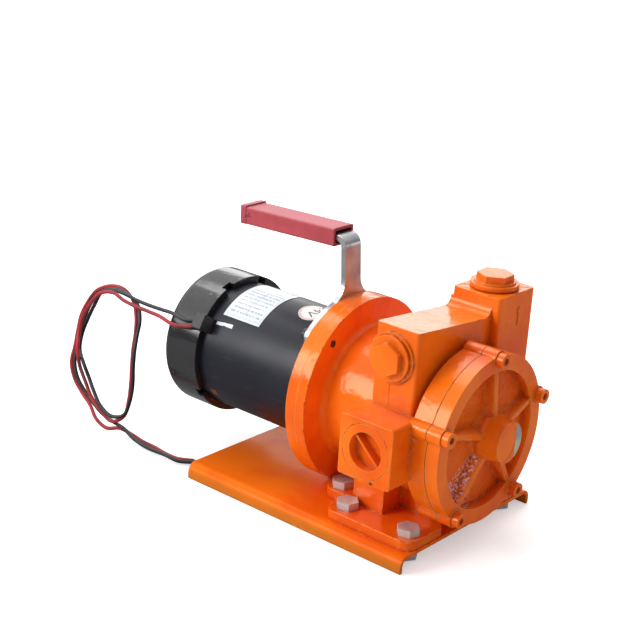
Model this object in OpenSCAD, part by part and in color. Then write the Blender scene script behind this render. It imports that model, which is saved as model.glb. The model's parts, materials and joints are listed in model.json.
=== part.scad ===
// Electric diesel transfer pump: a 24 V motor flanged to an eccentric sliding vane pump,
// on a folded base plate, with a carry handle, a bypass valve and a pair of leads.
// X runs along the shaft towards the pump cover, Z is up, and the floor is Z = 0.
// Places along X are measured from the joint between the motor flange and the pump casting.

/* [Base plate] */
// Height of the plate's top face above the floor
plate_h = 14; // [12:0.5:30]
// Width over the two side lips
plate_w = 184; // [176:1:240]
// Reach of the plate behind the flange joint
plate_back = 108.4; // [70:1:150]
// Reach of the plate in front of the feet
plate_over = 1; // [0.5:0.5:30]
// Sheet thickness of the plate
plate_t = 3; // [2:0.5:4]
// Outside radius of the folded edges
plate_bend_r = 8.5; // [5:0.5:12]

/* [Motor] */
// Gap between the plate and the flanges above it
flange_over_plate = 0.5; // [0.5:0.5:20]
// Outside diameter of the motor tube
tube_d = 114; // [108:1:120]
// Wall of the motor tube
tube_wall = 5; // [3:0.5:6]
// Length of the tube seen between the flange and the end cap
tube_show = 123.2; // [115:1:160]
// Depth that the tube runs on inside the end cap
tube_in_cap = 16.5; // [12:0.5:20]
// Step from the tube to the edge of the motor's front flange and the pump's flange
flange_step = 24.5; // [22:0.5:28]
// Thickness of the motor's front flange
motor_flange_t = 10.2; // [8:0.2:14]
// Step from the tube to the outside of the motor's end cap
cap_step = 6.1; // [5:0.1:10]
// Length of the motor's end cap
cap_len = 40.4; // [34:0.2:60]
// Wall of the motor's end cap
cap_wall = 3; // [2:0.5:4]
// Corner radius at the closed end of the cap
cap_edge_r = 7; // [4:0.5:12]
// Diameter of the motor shaft and of the pump shaft
shaft_d = 16; // [12:1:17]
// Air gap between the armature core and the magnets
air_gap = 2.5; // [1:0.1:4]
// Length of the armature core
core_len = 60; // [40:1:62]
// Diameter of the commutator
commutator_d = 36; // [28:1:44]
// Length of the commutator
commutator_len = 18; // [10:1:20]
// Thickness of the field magnets
magnet_t = 7; // [4:0.5:7.5]
// Angle that one field magnet covers
magnet_angle = 66; // [40:1:72]

/* [Pump casting] */
// Wall between the shaft seal and the pump chamber
chamber_wall = 22; // [20:0.5:36]
// Thickness of the casting's flange
body_flange_t = 9.2; // [7:0.2:14]
// Diameter of the bell between the flange and the pump
bell_d = 116; // [112:1:124]
// Fillet between the bell and its flange
bell_fillet_r = 5; // [2:0.5:8]
// Room behind the coupling inside the bell
coupling_room = 2.5; // [1:0.5:6]
// Diameter of the space for the coupling inside the bell
bell_bore_d = 96; // [70:1:100]
// Step from the drum to the round rim that carries the cover
rim_step = 9.5; // [8:0.5:14]
// Thickness of the casting's rim
rim_t = 17.4; // [12:0.2:24]
// Wall of the drum outside the passages
drum_wall = 7; // [5:0.5:10]
// Distance of the chamber's centre from the shaft
chamber_offset = 5.3; // [3:0.1:6]
// Bore of the pump chamber
chamber_d = 84; // [76:1:86]
// Length of the pump chamber
chamber_len = 42; // [30:1:46]
// Wall of the cam ring that lines the chamber
cam_wall = 8; // [6:0.5:10]
// Depth of the passages around the cam ring
gallery_depth = 5; // [2:0.5:6]

/* [Inlet] */
// Width and height of the inlet block
inlet_w = 51.4; // [48:0.2:54]
// Distance of the inlet face from the shaft axis
inlet_reach = 100.4; // [92:0.2:120]
// Distance of the inlet axis from the flange joint
inlet_x = 89; // [86:1:92]
// Bore that leads from the inlet to the chamber
inlet_bore_d = 30; // [20:1:34]
// Thread bore of the inlet
inlet_thread_d = 39; // [34:0.5:42]
// Depth of the inlet's thread bore
inlet_thread_len = 18; // [14:1:22]
// Diameter of the inlet plug's flush flange
plug_flange_d = 45.4; // [43:0.2:48]
// Thickness of the inlet plug's flush flange
plug_flange_t = 3; // [2:0.5:5]
// Diameter of the recess in the inlet plug
plug_recess_d = 31.6; // [26:0.2:33]
// Depth of the recess in the inlet plug
plug_recess_h = 9; // [5:0.5:11]
// Width of the grip bar across the plug's recess
plug_bar_w = 1.8; // [1:0.2:4]
// Depth of the grip bar in the plug
plug_bar_h = 7; // [3:0.5:8]

/* [Outlet] */
// Length of the outlet column along the shaft
outlet_l = 47; // [44:0.5:52]
// Width of the outlet column across the shaft
outlet_w = 50.6; // [46:0.2:54]
// Height of the outlet face above the bypass block beside it
outlet_rise = 16; // [14:0.5:40]
// Distance of the outlet axis from the flange joint
outlet_x = 90.7; // [88:0.1:93]
// Distance of the outlet axis from the shaft axis
outlet_y = 56.9; // [54:0.1:60]
// Bore of the outlet
outlet_bore_d = 30; // [22:1:33]
// Thread length in the outlet
outlet_thread_len = 15; // [10:1:18]
// Diameter of the outlet cap's collar
outlet_collar_d = 41; // [38:0.5:44]
// Width across the flats of the outlet cap's hexagon
outlet_hex_af = 27; // [22:0.5:30]
// Height of the outlet cap's hexagon
outlet_hex_h = 5.8; // [4:0.2:12]

/* [Bypass valve] */
// Distance of the bypass valve's axis from the flange joint
relief_x = 83.2; // [82:0.2:86]
// Wall between the bypass valve's bore and the cam ring
relief_wall = 5.5; // [4:0.5:8]
// Bore of the bypass valve
relief_bore_d = 26; // [20:1:27]
// Length of the bypass block along the shaft
bridge_l = 41; // [38:0.5:44]
// Distance of the bypass block's face from the shaft axis
bridge_reach = 67; // [62:0.5:74]
// Wall over the bypass valve's bore at the outlet column
bridge_wall = 4.7; // [3:0.1:8]
// Extra height of the bypass block at its face
bridge_slope_h = 8.2; // [6:0.2:12]
// Fillet between the bypass block and the outlet column
bridge_fillet_r = 8; // [3:0.5:8]
// Diameter of the boss around the bypass cap
relief_boss_d = 42.4; // [38:0.2:44]
// Height of the boss around the bypass cap
relief_boss_h = 2; // [1:0.5:6]
// Diameter of the bypass cap's collar
relief_collar_d = 37.6; // [32:0.2:40]
// Width across the flats of the bypass cap's hexagon
relief_hex_af = 25; // [20:0.5:28]
// Height of the bypass cap's hexagon
relief_hex_h = 5.2; // [3:0.2:10]
// Opening stroke of the bypass poppet
relief_stroke = 8; // [3:0.5:12]
// Wire diameter of the bypass spring
spring_wire_d = 2; // [1:0.2:2.4]
// Mean diameter of the bypass spring
spring_mean_d = 16; // [14:0.5:19]
// Number of turns of the bypass spring
spring_turns = 8; // [5:1:10]

/* [Cover] */
// Thickness of the cover at its rim
cover_t = 11.8; // [10:0.2:16]
// Thickness of the cover's sunk floor
cover_floor_t = 3; // [2.5:0.5:5]
// Width of the raised band round the cover's sunk floor
cover_band = 13; // [11:0.5:16]
// Diameter of the cover's bearing hub
hub_d = 34.8; // [34.4:0.2:38]
// Height of the bearing hub above the cover's rim
hub_rise = 15; // [14:0.5:20]
// Draft of the bearing hub, as added radius at its foot
hub_draft = 3.6; // [0:0.2:4]
// Width of a cover rib at its foot beside the hub
rib_w = 17; // [8:0.5:20]
// Width of a cover rib at its foot beside the rim
rib_tip_w = 8; // [6:0.2:10]
// Width of a cover rib's ridge
rib_ridge_w = 4.4; // [2:0.2:6]
// Height of a cover rib's ridge at the hub above the cover's rim
rib_rise = 1.5; // [0:0.5:6]
// Thickness of the cover gasket
gasket_t = 0.5; // [0.4:0.1:1]
// Number of cover screws
cover_screws_n = 5; // [5:1:5]
// Distance of the cover screws from the rim's edge
cover_screw_in = 2.3; // [1:0.1:3.5]
// Diameter of the bosses for the cover screws
cover_boss_d = 15; // [14.4:0.2:18]
// Height of a cover screw's head
cover_head_h = 6.4; // [5:0.2:14]
// Head diameter of a cover screw
cover_head_d = 12.6; // [11:0.2:13.4]
// Thread diameter of a cover screw
cover_screw_d = 8; // [5:1:8]

/* [Feet] */
// Thickness of the casting's feet
foot_t = 8; // [6:0.5:12]
// Length of a foot along the shaft
foot_l = 88; // [84:1:92]
// Distance of the foot's front end behind the cover joint
foot_back = 4; // [2:0.5:6]
// Distance of the feet from the plate's side edges
foot_inset = 11; // [9:0.5:16]
// Distance of the foot's inner edge from the shaft axis
foot_in = 31; // [26:0.5:34]
// Thread diameter of the foot bolts
foot_bolt_d = 10; // [8:1:11]
// Width across the flats of the foot bolts
foot_hex_af = 17; // [14:0.5:18]
// Height of a foot bolt's head
foot_head_h = 6.4; // [5:0.2:8]
// Height of a foot nut
foot_nut_h = 7; // [5:0.5:7.5]
// Thickness of a foot washer
foot_washer_t = 2; // [1:0.2:2.2]

/* [Handle] */
// Width of the handle's strap
strap_w = 20; // [16:0.5:24]
// Thickness of the handle's strap
strap_t = 5; // [3:0.5:6]
// Height of the strap's top face at the bend above the shaft
strap_rise = 133.5; // [127:0.5:150]
// Outside radius of the strap's bend
strap_bend_r = 10; // [7:0.5:14]
// Angle that the grip slopes down towards its free end
grip_slope = 2.3; // [0:0.1:5]
// Distance of the handle's curved foot inside the flange's edge
strap_foot_in = 0.5; // [0:0.1:1.5]
// Width of the handle's curved foot
strap_foot_w = 17.6; // [15:0.2:18.6]
// Length of the rubber grip
grip_len = 106; // [90:1:112]
// Height of the grip
grip_h = 15.4; // [12:0.2:20]
// Width of the grip
grip_w = 25.6; // [25:0.2:32]
// Wall of the grip at its open mouth
grip_wall = 2.4; // [1.5:0.1:2.6]

/* [Labels] */
// Length of the rating plate along the tube
plate_label_l = 42; // [20:1:60]
// Angle of the tube that the rating plate covers
plate_label_angle = 61; // [30:1:80]
// Diameter of the round voltage label
volt_label_d = 27; // [16:1:30]

/* [Hidden] */

// Overrun of every cut
cut = 1;
// Radial clearance of a seated or pressed fit
fit_gap = 0.03;
// Clearance between a moving piece and a fixed one
run_gap = 0.3;
// Facets of the round pieces
fine = 96;
// Facets of the small round pieces
small = 32;

// Diameters that follow the tube
flange_d = tube_d + 2 * flange_step;
cap_d = tube_d + 2 * cap_step;
core_d = tube_d - 2 * tube_wall - 2 * magnet_t - 2 * air_gap;

// Diameters that follow the pump chamber
cam_d = chamber_d + 2 * cam_wall;
drum_d = cam_d + 2 * gallery_depth + 2 * drum_wall;
rim_d = drum_d + 2 * rim_step;
cover_screw_r = rim_d / 2 - cover_screw_in;
cover_recess_d = rim_d - 2 * cover_band;

// Heights above the floor
axis_h = plate_h + flange_over_plate + max(flange_d / 2, rim_d / 2 + chamber_offset);
relief_h = axis_h + cam_d / 2 + relief_wall + relief_bore_d / 2;
bridge_back_h = relief_h + relief_bore_d / 2 + bridge_wall;
bridge_face_h = bridge_back_h + bridge_slope_h;
outlet_h = bridge_back_h + outlet_rise;
strap_h = axis_h + strap_rise;
strap_foot_r = flange_d / 2 - strap_foot_in;

// Bearings and seal
bearing_d = 36;
bearing_w = 11;
bearing_ring_t = 3;
bearing_balls_n = 8;
seal_d = 30;
seal_w = 8;

// Coupling
coupling_d = 44;
coupling_hub_l = 16;
coupling_gap = 8;
coupling_start = 3.5;

// Places along the shaft
bell_depth = coupling_start + 2 * coupling_hub_l + coupling_gap + coupling_room;
body_len = bell_depth + bearing_w + seal_w + chamber_wall + chamber_len;
foot_front = body_len - foot_back;
plate_front = foot_front + plate_over;
foot_out = plate_w / 2 - foot_inset;
x_flange = -motor_flange_t;
x_tube_end = x_flange - tube_show - tube_in_cap;
x_cap_front = x_flange - tube_show;
x_cap_back = x_cap_front - cap_len;
x_rim = body_len - rim_t;
x_cover = body_len + gasket_t;
x_cover_front = x_cover + cover_t;
x_hub = x_cover_front + hub_rise;
x_chamber = body_len - chamber_len;
// The origin is the middle of the box round the pump, on the floor
frame_x = -(x_cap_back + x_hub) / 2;
frame_y = (inlet_reach - max(plate_w / 2, outlet_y + outlet_w / 2)) / 2;

// Direction of the chamber's offset, seen from the cover
chamber_turn = 190;
rotor_d = chamber_d - 2 * chamber_offset - 2 * run_gap;
// Angles of the suction and the discharge ports in the cam ring
suction_ports = [160, 235];
discharge_ports = [15, 75];
port_edge = 8;

// Edge radius of the blocks on the casting
block_r = 2.5;

// Bearing seats
bearing_race = (bearing_d - shaft_d) / 2 - 2 * bearing_ring_t;
ball_d = bearing_race - run_gap - 2 * fit_gap;
bearing_wall = 6;
bearing_web = 3;
bearing_inset = 1.5;
front_boss_l = 8;
// The starts of the three ball bearings along the shaft
bearings_x = [x_tube_end + bearing_inset, x_flange - front_boss_l, bell_depth];
hub_floor = 4;
hub_foot = 3;
cover_boss_rise = 1;
rib_dip = 1;
bush_wall = 4;
bush_gap = 0.05;

// Flange screws
flange_screw_in = 9.1;
flange_screw_d = 6;
flange_head_d = 10;
flange_head_h = 6;
flange_screw_r = flange_d / 2 - flange_screw_in;
flange_screw_turn = 42.5;
flange_blind = 3;

// Foot bolts: two in each foot and one in each rear lug
bolt_in = 12.6;
bolt_out = 15;
lug_x = 21.7;
lug_y = 38;
lug_r = 13;
foot_bolts_at = [[foot_front - bolt_in, foot_out - bolt_out],
    [foot_front - foot_l + bolt_in, foot_out - bolt_out], [lug_x, lug_y]];
foot_corner_r = 9;
bolt_play = 0.5;
foot_hole_d = foot_bolt_d + 2 * bolt_play;
bolt_end_gap = 0.8;
web_in = 25;
web_x = 47;
web_l = 31;
web_out = foot_out - web_in;

// End shield and brushes
shield_t = 8;
post_d = 10;
post_in = 12;
post_r = tube_d / 2 - post_in;
cap_screw_d = 5;
cap_screw_head_d = 9;
cap_screw_head_h = 3;
cap_screw_grip = 10;
cap_lip = 5;
brush_w = 10;
brush_l = 14;
brush_out = 20;
holder_wall = 2;
commutator_back = 3;
winding_l = 11;
winding_in = 7.5;
winding_d = core_d - 2 * winding_in;
winding_edge_r = 4;
magnet_over = 5;
core_front = 26;
core_slots = 12;
core_slot_w = 5;
core_slot_h = 11;
x_core = x_flange - core_front - core_len;
x_commutator = x_core - winding_l - commutator_back - commutator_len;

// Jaws of the coupling
jaw_n = 3;
jaw_angle = 48;
jaw_play = 2;
jaw_bore_d = 24;
spider_bore_d = 17;
spider_play = 0.1;
shaft_end_gap = 2;

// Rotor
vane_n = 6;
vane_t = 5;
vane_l = 19;
vane_play = 0.05;
vane_low_gap = 1;
vane_top_gap = 0.4;

// Slant of the grip bar in the inlet plug
plug_bar_turn = 42;
// Turns of the hexagons, as they were left when tightened
relief_hex_turn = 30;
outlet_hex_turn = 33;
foot_hex_turn = 15;

// Bypass valve
relief_seat_y = 12;
relief_seat_d = 14;
relief_thread_len = 16;
relief_drop_y = 48;
relief_drop_d = 16;
poppet_l = 10;
poppet_stem_d = 10;
poppet_stem_l = 14;
poppet_nose_l = 4;
washer_t = 1;
collar_t = 3.6;
collar_step_t = 1.4;
collar_step_in = 3;
washer_in = 2.6;
relief_collar_t = 2;
relief_washer_t = 1;

// Grip
grip_mouth = 16;
grip_start = 1.2;
grip_end_l = 6;
grip_end_rise = 1.4;
grip_end_side = 0.5;
grip_edge_r = 1.6;
strap_lean_low = -3.6;
strap_lean_high = -6.4;
strap_flare_r = 20;
strap_flare_bite = 0.4;
strap_in_grip = 4;

// Leads: routes of the two leads in millimetres from the flange joint and the shaft
lead_d = 3.5;
lead_exit_turn = 149;
grommet_back = 5;
grommet_front = 6;
grommet_w = 14;
grommet_h = 14.6;
notch_l = 5.6;
notch_w = 10;
notch_turns = [110, 70, 214, 326];
// The routes of the two leads, which cross over each other in one and a half loops
red_route = [[-138.7, -61, 126], [-146.5, -62, 123.5], [-161.5, -63.5, 121.5], [-177, -64, 124.5],
    [-192.5, -64.5, 125.5], [-208.5, -65, 126], [-224, -65, 127.5], [-239, -64, 130.5],
    [-253.5, -67, 126.5], [-262.5, -71, 114.5], [-268.5, -74.5, 100.5], [-270, -77.5, 85],
    [-262.5, -85.5, 73], [-266.5, -79, 54], [-255.5, -81.5, 42], [-246, -82.5, 30],
    [-233.5, -82.5, 21], [-219.5, -81.5, 14], [-209.5, -75, 20.5], [-209, -70, 35.5],
    [-210.5, -66.5, 50.5], [-213.5, -63, 65.5], [-217, -58.5, 80], [-220.5, -52.5, 94],
    [-226.5, -46.5, 107], [-235, -42.5, 119], [-248.5, -42.5, 127], [-263.5, -45, 126.5],
    [-277, -49, 119.5], [-285.5, -52.5, 107], [-291, -56, 93], [-292.5, -59, 77.5], [-292, -63, 62.5],
    [-290.5, -68.5, 48], [-283, -71, 34.5], [-271.5, -72, 24], [-258.5, -73, 15.5], [-246, -76.5, 6.5],
    [-230.5, -77.5, 2.5], [-216.5, -73.5, 5.5], [-201.5, -72.5, 4], [-185.5, -73.5, 2.5],
    [-169.5, -74, 2.5], [-154, -76, 2.5], [-138.5, -75.5, 2.5], [-125.5, -67.5, 2.5]];
black_route = [[-138.7, -56.5, 130], [-153, -57.5, 127], [-168, -58, 129], [-183, -59, 129],
    [-198, -59.5, 129], [-213, -59.5, 129.5], [-228, -58.5, 130.5], [-243, -59, 130.5],
    [-256.5, -62, 125.5], [-263, -65, 112], [-268, -68, 98.5], [-270.5, -72.5, 84.5],
    [-274.5, -72, 67.5], [-259.5, -81, 60.5], [-250.5, -82, 48.5], [-240.5, -84.5, 38],
    [-229, -87, 28.5], [-215.5, -86, 22], [-204, -80.5, 25], [-201.5, -75.5, 38.5], [-202, -72, 53.5],
    [-205, -69, 67.5], [-208, -65, 82], [-211.5, -59, 95], [-215.5, -52, 108], [-224, -47.5, 119.5],
    [-237.5, -48, 126], [-252, -50.5, 127.5], [-265.5, -53.5, 122.5], [-274.5, -57.5, 111],
    [-279.5, -61, 97], [-281.5, -64, 82.5], [-281.5, -68.5, 68.5], [-280, -73.5, 54],
    [-273, -76.5, 41], [-262.5, -77, 30.5], [-250, -77.5, 22.5], [-236.5, -78, 15.5],
    [-222.5, -77, 11.5], [-208, -76.5, 9], [-193.5, -78, 4.5], [-178.5, -79, 2.5], [-163.5, -80, 3],
    [-148, -81, 4.5], [-133.5, -79, 3], [-121.5, -70.5, 3.5]];
lead_rings = 76;
lead_sides = 8;

// Labels
label_t = 0.25;
label_gap = 0.1;
rating_start_turn = 74;
rating_x = x_flange - 70.2;
volt_x = x_flange - 36;
volt_turn = 98.7;
arrow_t = 0.8;
arrow_side = 3.7;
arrow_drop = 20.2;
arrow_w = 1.6;
arrow_l = 16;
arrow_y = outlet_y + arrow_side;
arrow_h = outlet_h - arrow_drop;

orange = "#f2660f";
steel = "#b9bcc0";
black = "#191a1d";
dark = "#3a3c40";

// Moves a piece drawn round the shaft into the part's frame
module on_shaft() { translate([frame_x, frame_y, axis_h]) children(); }
// Moves a piece drawn above the floor into the part's frame
module on_floor() { translate([frame_x, frame_y, 0]) children(); }
// Moves a piece drawn round the pump chamber into the part's frame
module on_chamber() {
    on_shaft() translate([0, chamber_offset * cos(chamber_turn), chamber_offset * sin(chamber_turn)])
        children();
}
// A cylinder along X from one place to another
module rod_x(d, from, to, n = fine) {
    translate([from, 0, 0]) rotate([0, 90, 0]) cylinder(d = d, h = to - from, $fn = n);
}
// A cylinder along Y from one place to another
module rod_y(d, from, to, n = fine) {
    translate([0, from, 0]) rotate([-90, 0, 0]) cylinder(d = d, h = to - from, $fn = n);
}
// A ring along X
module ring_x(outer, inner, from, to, n = fine) {
    difference() {
        rod_x(outer, from, to, n);
        rod_x(inner, from - cut, to + cut, n);
    }
}
// A flat rectangle with round corners, from one corner to the other
module soft_rect(x0, y0, x1, y1, r) {
    union() {
        translate([x0 + r, y0]) square([x1 - x0 - 2 * r, y1 - y0]);
        translate([x0, y0 + r]) square([x1 - x0, y1 - y0 - 2 * r]);
        for (x = [x0 + r, x1 - r], y = [y0 + r, y1 - r]) translate([x, y]) circle(r = r, $fn = small);
    }
}
// A hexagon with its flats a given width apart
module hex_prism(af, h) { cylinder(d = af / cos(30), h = h, $fn = 6); }
// A flat sector, seen from the cover, that a ring is cut with
module sector_x(r, from, to, x0, x1) {
    steps = 12;
    translate([x0, 0, 0]) rotate([90, 0, 90]) linear_extrude(height = x1 - x0)
        polygon(concat([[0, 0]], [for (i = [0:steps])
            let (a = from + (to - from) * i / steps) [r * cos(a), r * sin(a)]]));
}
// Repeats a piece at the cover screws
module at_cover_screws() {
    for (i = [0:cover_screws_n - 1])
        rotate([90 + i * 360 / cover_screws_n, 0, 0]) translate([0, cover_screw_r, 0]) children();
}
// Repeats a piece at the foot bolts, on both sides
module at_foot_bolts() {
    for (p = foot_bolts_at, side = [-1, 1]) translate([p[0], side * p[1], 0]) children();
}
// Repeats a piece at the flange screws: the two upper ones hold the handle too
module at_flange_screws(upper) {
    for (side = [-1, 1])
        rotate([90 + (upper ? side * flange_screw_turn : 180 + side * flange_screw_turn), 0, 0])
            translate([0, flange_screw_r, 0]) children();
}

// Folded sheet plate with a lip along each side
module base_plate() {
    color(orange) on_floor() difference() {
        translate([-plate_back, 0, 0]) rotate([90, 0, 90])
            linear_extrude(height = plate_front + plate_back) difference() {
                soft_rect(-plate_w / 2, -plate_h, plate_w / 2, plate_h, plate_bend_r);
                soft_rect(-plate_w / 2 + plate_t, -plate_h - plate_t, plate_w / 2 - plate_t,
                    plate_h - plate_t, plate_bend_r - plate_t);
                translate([-plate_w, -2 * plate_h]) square([2 * plate_w, 2 * plate_h]);
            }
        at_foot_bolts() cylinder(d = foot_hole_d, h = plate_h + cut, $fn = small);
    }
}

// One foot of the casting, on the side with negative Y
module foot_pad() {
    translate([0, 0, plate_h]) linear_extrude(height = foot_t)
        soft_rect(foot_front - foot_l, -foot_out, foot_front, -foot_in, foot_corner_r);
}

// Casting: flange, bell, chamber drum, rim, inlet, outlet, bypass block and feet
module pump_body() {
    color(orange) difference() {
        union() {
            on_shaft() body_turning();
            on_chamber() {
                rod_x(drum_d, x_chamber - cam_wall, x_rim + cut);
                cover_slab(x_rim, body_len);
            }
            body_blocks();
            on_floor() {
                for (side = [0, 1]) mirror([0, side, 0]) {
                    foot_pad();
                    translate([lug_x, -lug_y, plate_h]) cylinder(r = lug_r, h = foot_t, $fn = fine);
                    translate([lug_x, -lug_y - lug_r, plate_h])
                        cube([web_x - lug_x, 2 * lug_r, foot_t]);
                    translate([web_x, -web_out, plate_h]) cube([web_l, web_out - foot_in, axis_h - plate_h]);
                }
                translate([web_x, -foot_in - cut, plate_h])
                    cube([x_rim - web_x - cut, 2 * foot_in + 2 * cut,
                        axis_h - drum_d / 2 - plate_h + cam_wall]);
            }
        }
        on_shaft() body_shaft_bores();
        on_chamber() body_chamber_bores();
        body_port_bores();
        on_floor() at_foot_bolts() translate([0, 0, plate_h - cut])
            cylinder(d = foot_hole_d, h = foot_t + 2 * cut, $fn = small);
    }
}

// Flange and bell of the casting, turned about the shaft
module body_turning() {
    rotate([0, 90, 0]) rotate_extrude($fn = fine) difference() {
        union() {
            square([flange_d / 2, body_flange_t]);
            square([bell_d / 2, x_chamber]);
            translate([bell_d / 2 - cut, body_flange_t - cut])
                square([bell_fillet_r + cut, bell_fillet_r + cut]);
        }
        translate([bell_d / 2 + bell_fillet_r, body_flange_t + bell_fillet_r])
            circle(r = bell_fillet_r, $fn = fine);
    }
}

// Inlet block, outlet column and bypass block of the casting
module body_blocks() {
    // Hollow fillet from the outlet column down to the top of the bypass block
    fillet = [for (a = [0:-15:-90]) [outlet_y - outlet_w / 2 - bridge_fillet_r * (1 - cos(a)),
        bridge_back_h + bridge_fillet_r * (1 + sin(a))]];
    on_floor() {
        translate([inlet_x, 0, axis_h]) rotate([90, 0, 0]) linear_extrude(height = inlet_reach)
            soft_rect(-inlet_w / 2, -inlet_w / 2, inlet_w / 2, inlet_w / 2, block_r);
        translate([0, 0, axis_h]) linear_extrude(height = outlet_h - axis_h)
            soft_rect(outlet_x - outlet_l / 2, outlet_y - outlet_w / 2, outlet_x + outlet_l / 2,
                outlet_y + outlet_w / 2, block_r);
        intersection() {
            linear_extrude(height = max(bridge_face_h, bridge_back_h + bridge_fillet_r))
                soft_rect(relief_x + relief_boss_d / 2 + block_r - bridge_l, -bridge_reach,
                    relief_x + relief_boss_d / 2 + block_r, outlet_y, block_r);
            rotate([90, 0, 90]) linear_extrude(height = body_len) polygon([
                [-bridge_reach - cut, axis_h], [outlet_y, axis_h],
                [outlet_y, bridge_back_h + bridge_fillet_r], each fillet,
                [-bridge_reach, bridge_face_h], [-bridge_reach - cut, bridge_face_h]]);
        }
        translate([relief_x, -bridge_reach, relief_h])
            rod_y(relief_boss_d, -relief_boss_h, block_r + cut);
        translate([0, outlet_y, axis_h]) rotate([90, 0, 90]) translate([0, 0, outlet_x - outlet_l / 2])
            linear_extrude(height = outlet_l) polygon([[-outlet_w / 2, -outlet_w / 2 - block_r],
                [outlet_w / 2, cut], [-outlet_w / 2, cut]]);
        translate([outlet_x + outlet_l / 2, arrow_y, arrow_h]) arrow_mark();
    }
}

// Raised arrow on the outlet column, pointing along the flow
module arrow_mark() {
    translate([-cut, 0, 0]) rotate([90, 0, 90]) linear_extrude(height = cut + arrow_t) {
        translate([-arrow_w / 2, -arrow_l / 2]) square([arrow_w, arrow_l - arrow_w]);
        polygon([[0, arrow_l / 2], [-2 * arrow_w, arrow_l / 2 - 3 * arrow_w],
            [2 * arrow_w, arrow_l / 2 - 3 * arrow_w]]);
    }
}

// Bores of the casting round the shaft
module body_shaft_bores() {
    rod_x(bell_bore_d, -cut, bell_depth);
    rod_x(bearing_d + 2 * fit_gap, bell_depth - cut, bell_depth + bearing_w);
    rod_x(seal_d + 2 * fit_gap, bell_depth + bearing_w - cut, bell_depth + bearing_w + seal_w);
    rod_x(shaft_d + 2 * run_gap, bell_depth, x_chamber + cut);
    at_flange_screws(true) rod_x(flange_screw_d + 2 * fit_gap, -cut, body_flange_t + cut, small);
    at_flange_screws(false)
        rod_x(flange_screw_d + 2 * fit_gap, -cut, body_flange_t - flange_blind, small);
}

// Pocket for the cam ring, its passages and the cover's thread holes
module body_chamber_bores() {
    rod_x(cam_d + 2 * fit_gap, x_chamber, body_len + cut);
    for (span = [suction_ports, discharge_ports]) intersection() {
        ring_x(cam_d + 2 * gallery_depth, cam_d - 2 * cut, x_chamber + port_edge, body_len - port_edge);
        sector_x(cam_d, span[0], span[1], x_chamber, body_len);
    }
    at_cover_screws() rod_x(cover_screw_d + 2 * fit_gap, x_rim + cut, body_len + cut, small);
}

// Bores of the inlet, the outlet and the bypass valve
module body_port_bores() {
    cam_reach = cam_d / 2 + chamber_offset;
    on_floor() {
        translate([inlet_x, 0, axis_h]) {
            rod_y(inlet_bore_d, -inlet_reach, -cam_reach + gallery_depth);
            rod_y(inlet_thread_d, -inlet_reach, -inlet_reach + inlet_thread_len);
            rod_y(plug_flange_d + 2 * run_gap, -inlet_reach - cut, -inlet_reach + plug_flange_t + fit_gap);
        }
        translate([outlet_x, outlet_y, axis_h]) cylinder(d = outlet_bore_d, h = outlet_h, $fn = fine);
        translate([relief_x, 0, relief_h]) {
            rod_y(relief_bore_d, -bridge_reach - relief_boss_h - cut, relief_seat_y);
            rod_y(relief_seat_d, 0, outlet_y);
        }
        translate([relief_x, -relief_drop_y, axis_h])
            cylinder(d = relief_drop_d, h = relief_h - axis_h, $fn = fine);
    }
}

// Hardened ring that the vanes sweep, with its suction and discharge ports
module cam_ring() {
    color(steel) on_chamber() difference() {
        ring_x(cam_d, chamber_d, x_chamber, body_len);
        for (span = [suction_ports, discharge_ports])
            sector_x(cam_d, span[0], span[1], x_chamber + port_edge, body_len - port_edge);
    }
}

// Outline of the cover and its gasket between two places along the shaft
module cover_slab(from, to) {
    translate([from, 0, 0]) rotate([90, 0, 90]) linear_extrude(height = to - from) {
        circle(d = rim_d, $fn = fine);
        for (i = [0:cover_screws_n - 1]) rotate(90 + i * 360 / cover_screws_n)
            translate([cover_screw_r, 0]) circle(d = cover_boss_d, $fn = small);
    }
}

// Cover with a sunk floor, five ribs and the hub of the outer bearing
module front_cover() {
    hub_y = -chamber_offset * cos(chamber_turn);
    hub_z = -chamber_offset * sin(chamber_turn);
    color(orange) on_chamber() difference() {
        union() {
            difference() {
                cover_slab(x_cover, x_cover_front);
                rod_x(cover_recess_d, x_cover + cover_floor_t, x_cover_front + cut);
            }
            translate([0, hub_y, hub_z]) translate([x_cover, 0, 0]) rotate([0, 90, 0])
                cylinder(d1 = hub_d + 2 * hub_draft, d2 = hub_d, h = x_hub - x_cover, $fn = fine);
            translate([x_cover, hub_y, hub_z]) rotate([0, 90, 0]) cylinder(h = cover_floor_t + hub_foot,
                r1 = hub_d / 2 + hub_draft + 2 * hub_foot, r2 = hub_d / 2 + hub_draft / 2, $fn = fine);
            at_cover_screws() rod_x(cover_boss_d, x_cover_front - cut, x_cover_front + cover_boss_rise, small);
            for (i = [0:cover_screws_n - 1])
                cover_rib([cover_screw_r * cos(90 + i * 360 / cover_screws_n) - hub_y,
                    cover_screw_r * sin(90 + i * 360 / cover_screws_n) - hub_z], hub_y, hub_z);
        }
        translate([0, hub_y, hub_z])
            rod_x(shaft_d + 2 * bush_wall + 2 * fit_gap, x_cover - cut, x_hub - hub_floor);
        at_cover_screws()
            rod_x(cover_screw_d + 2 * fit_gap, x_cover - cut, x_cover_front + cover_boss_rise + cut, small);
    }
}

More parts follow.
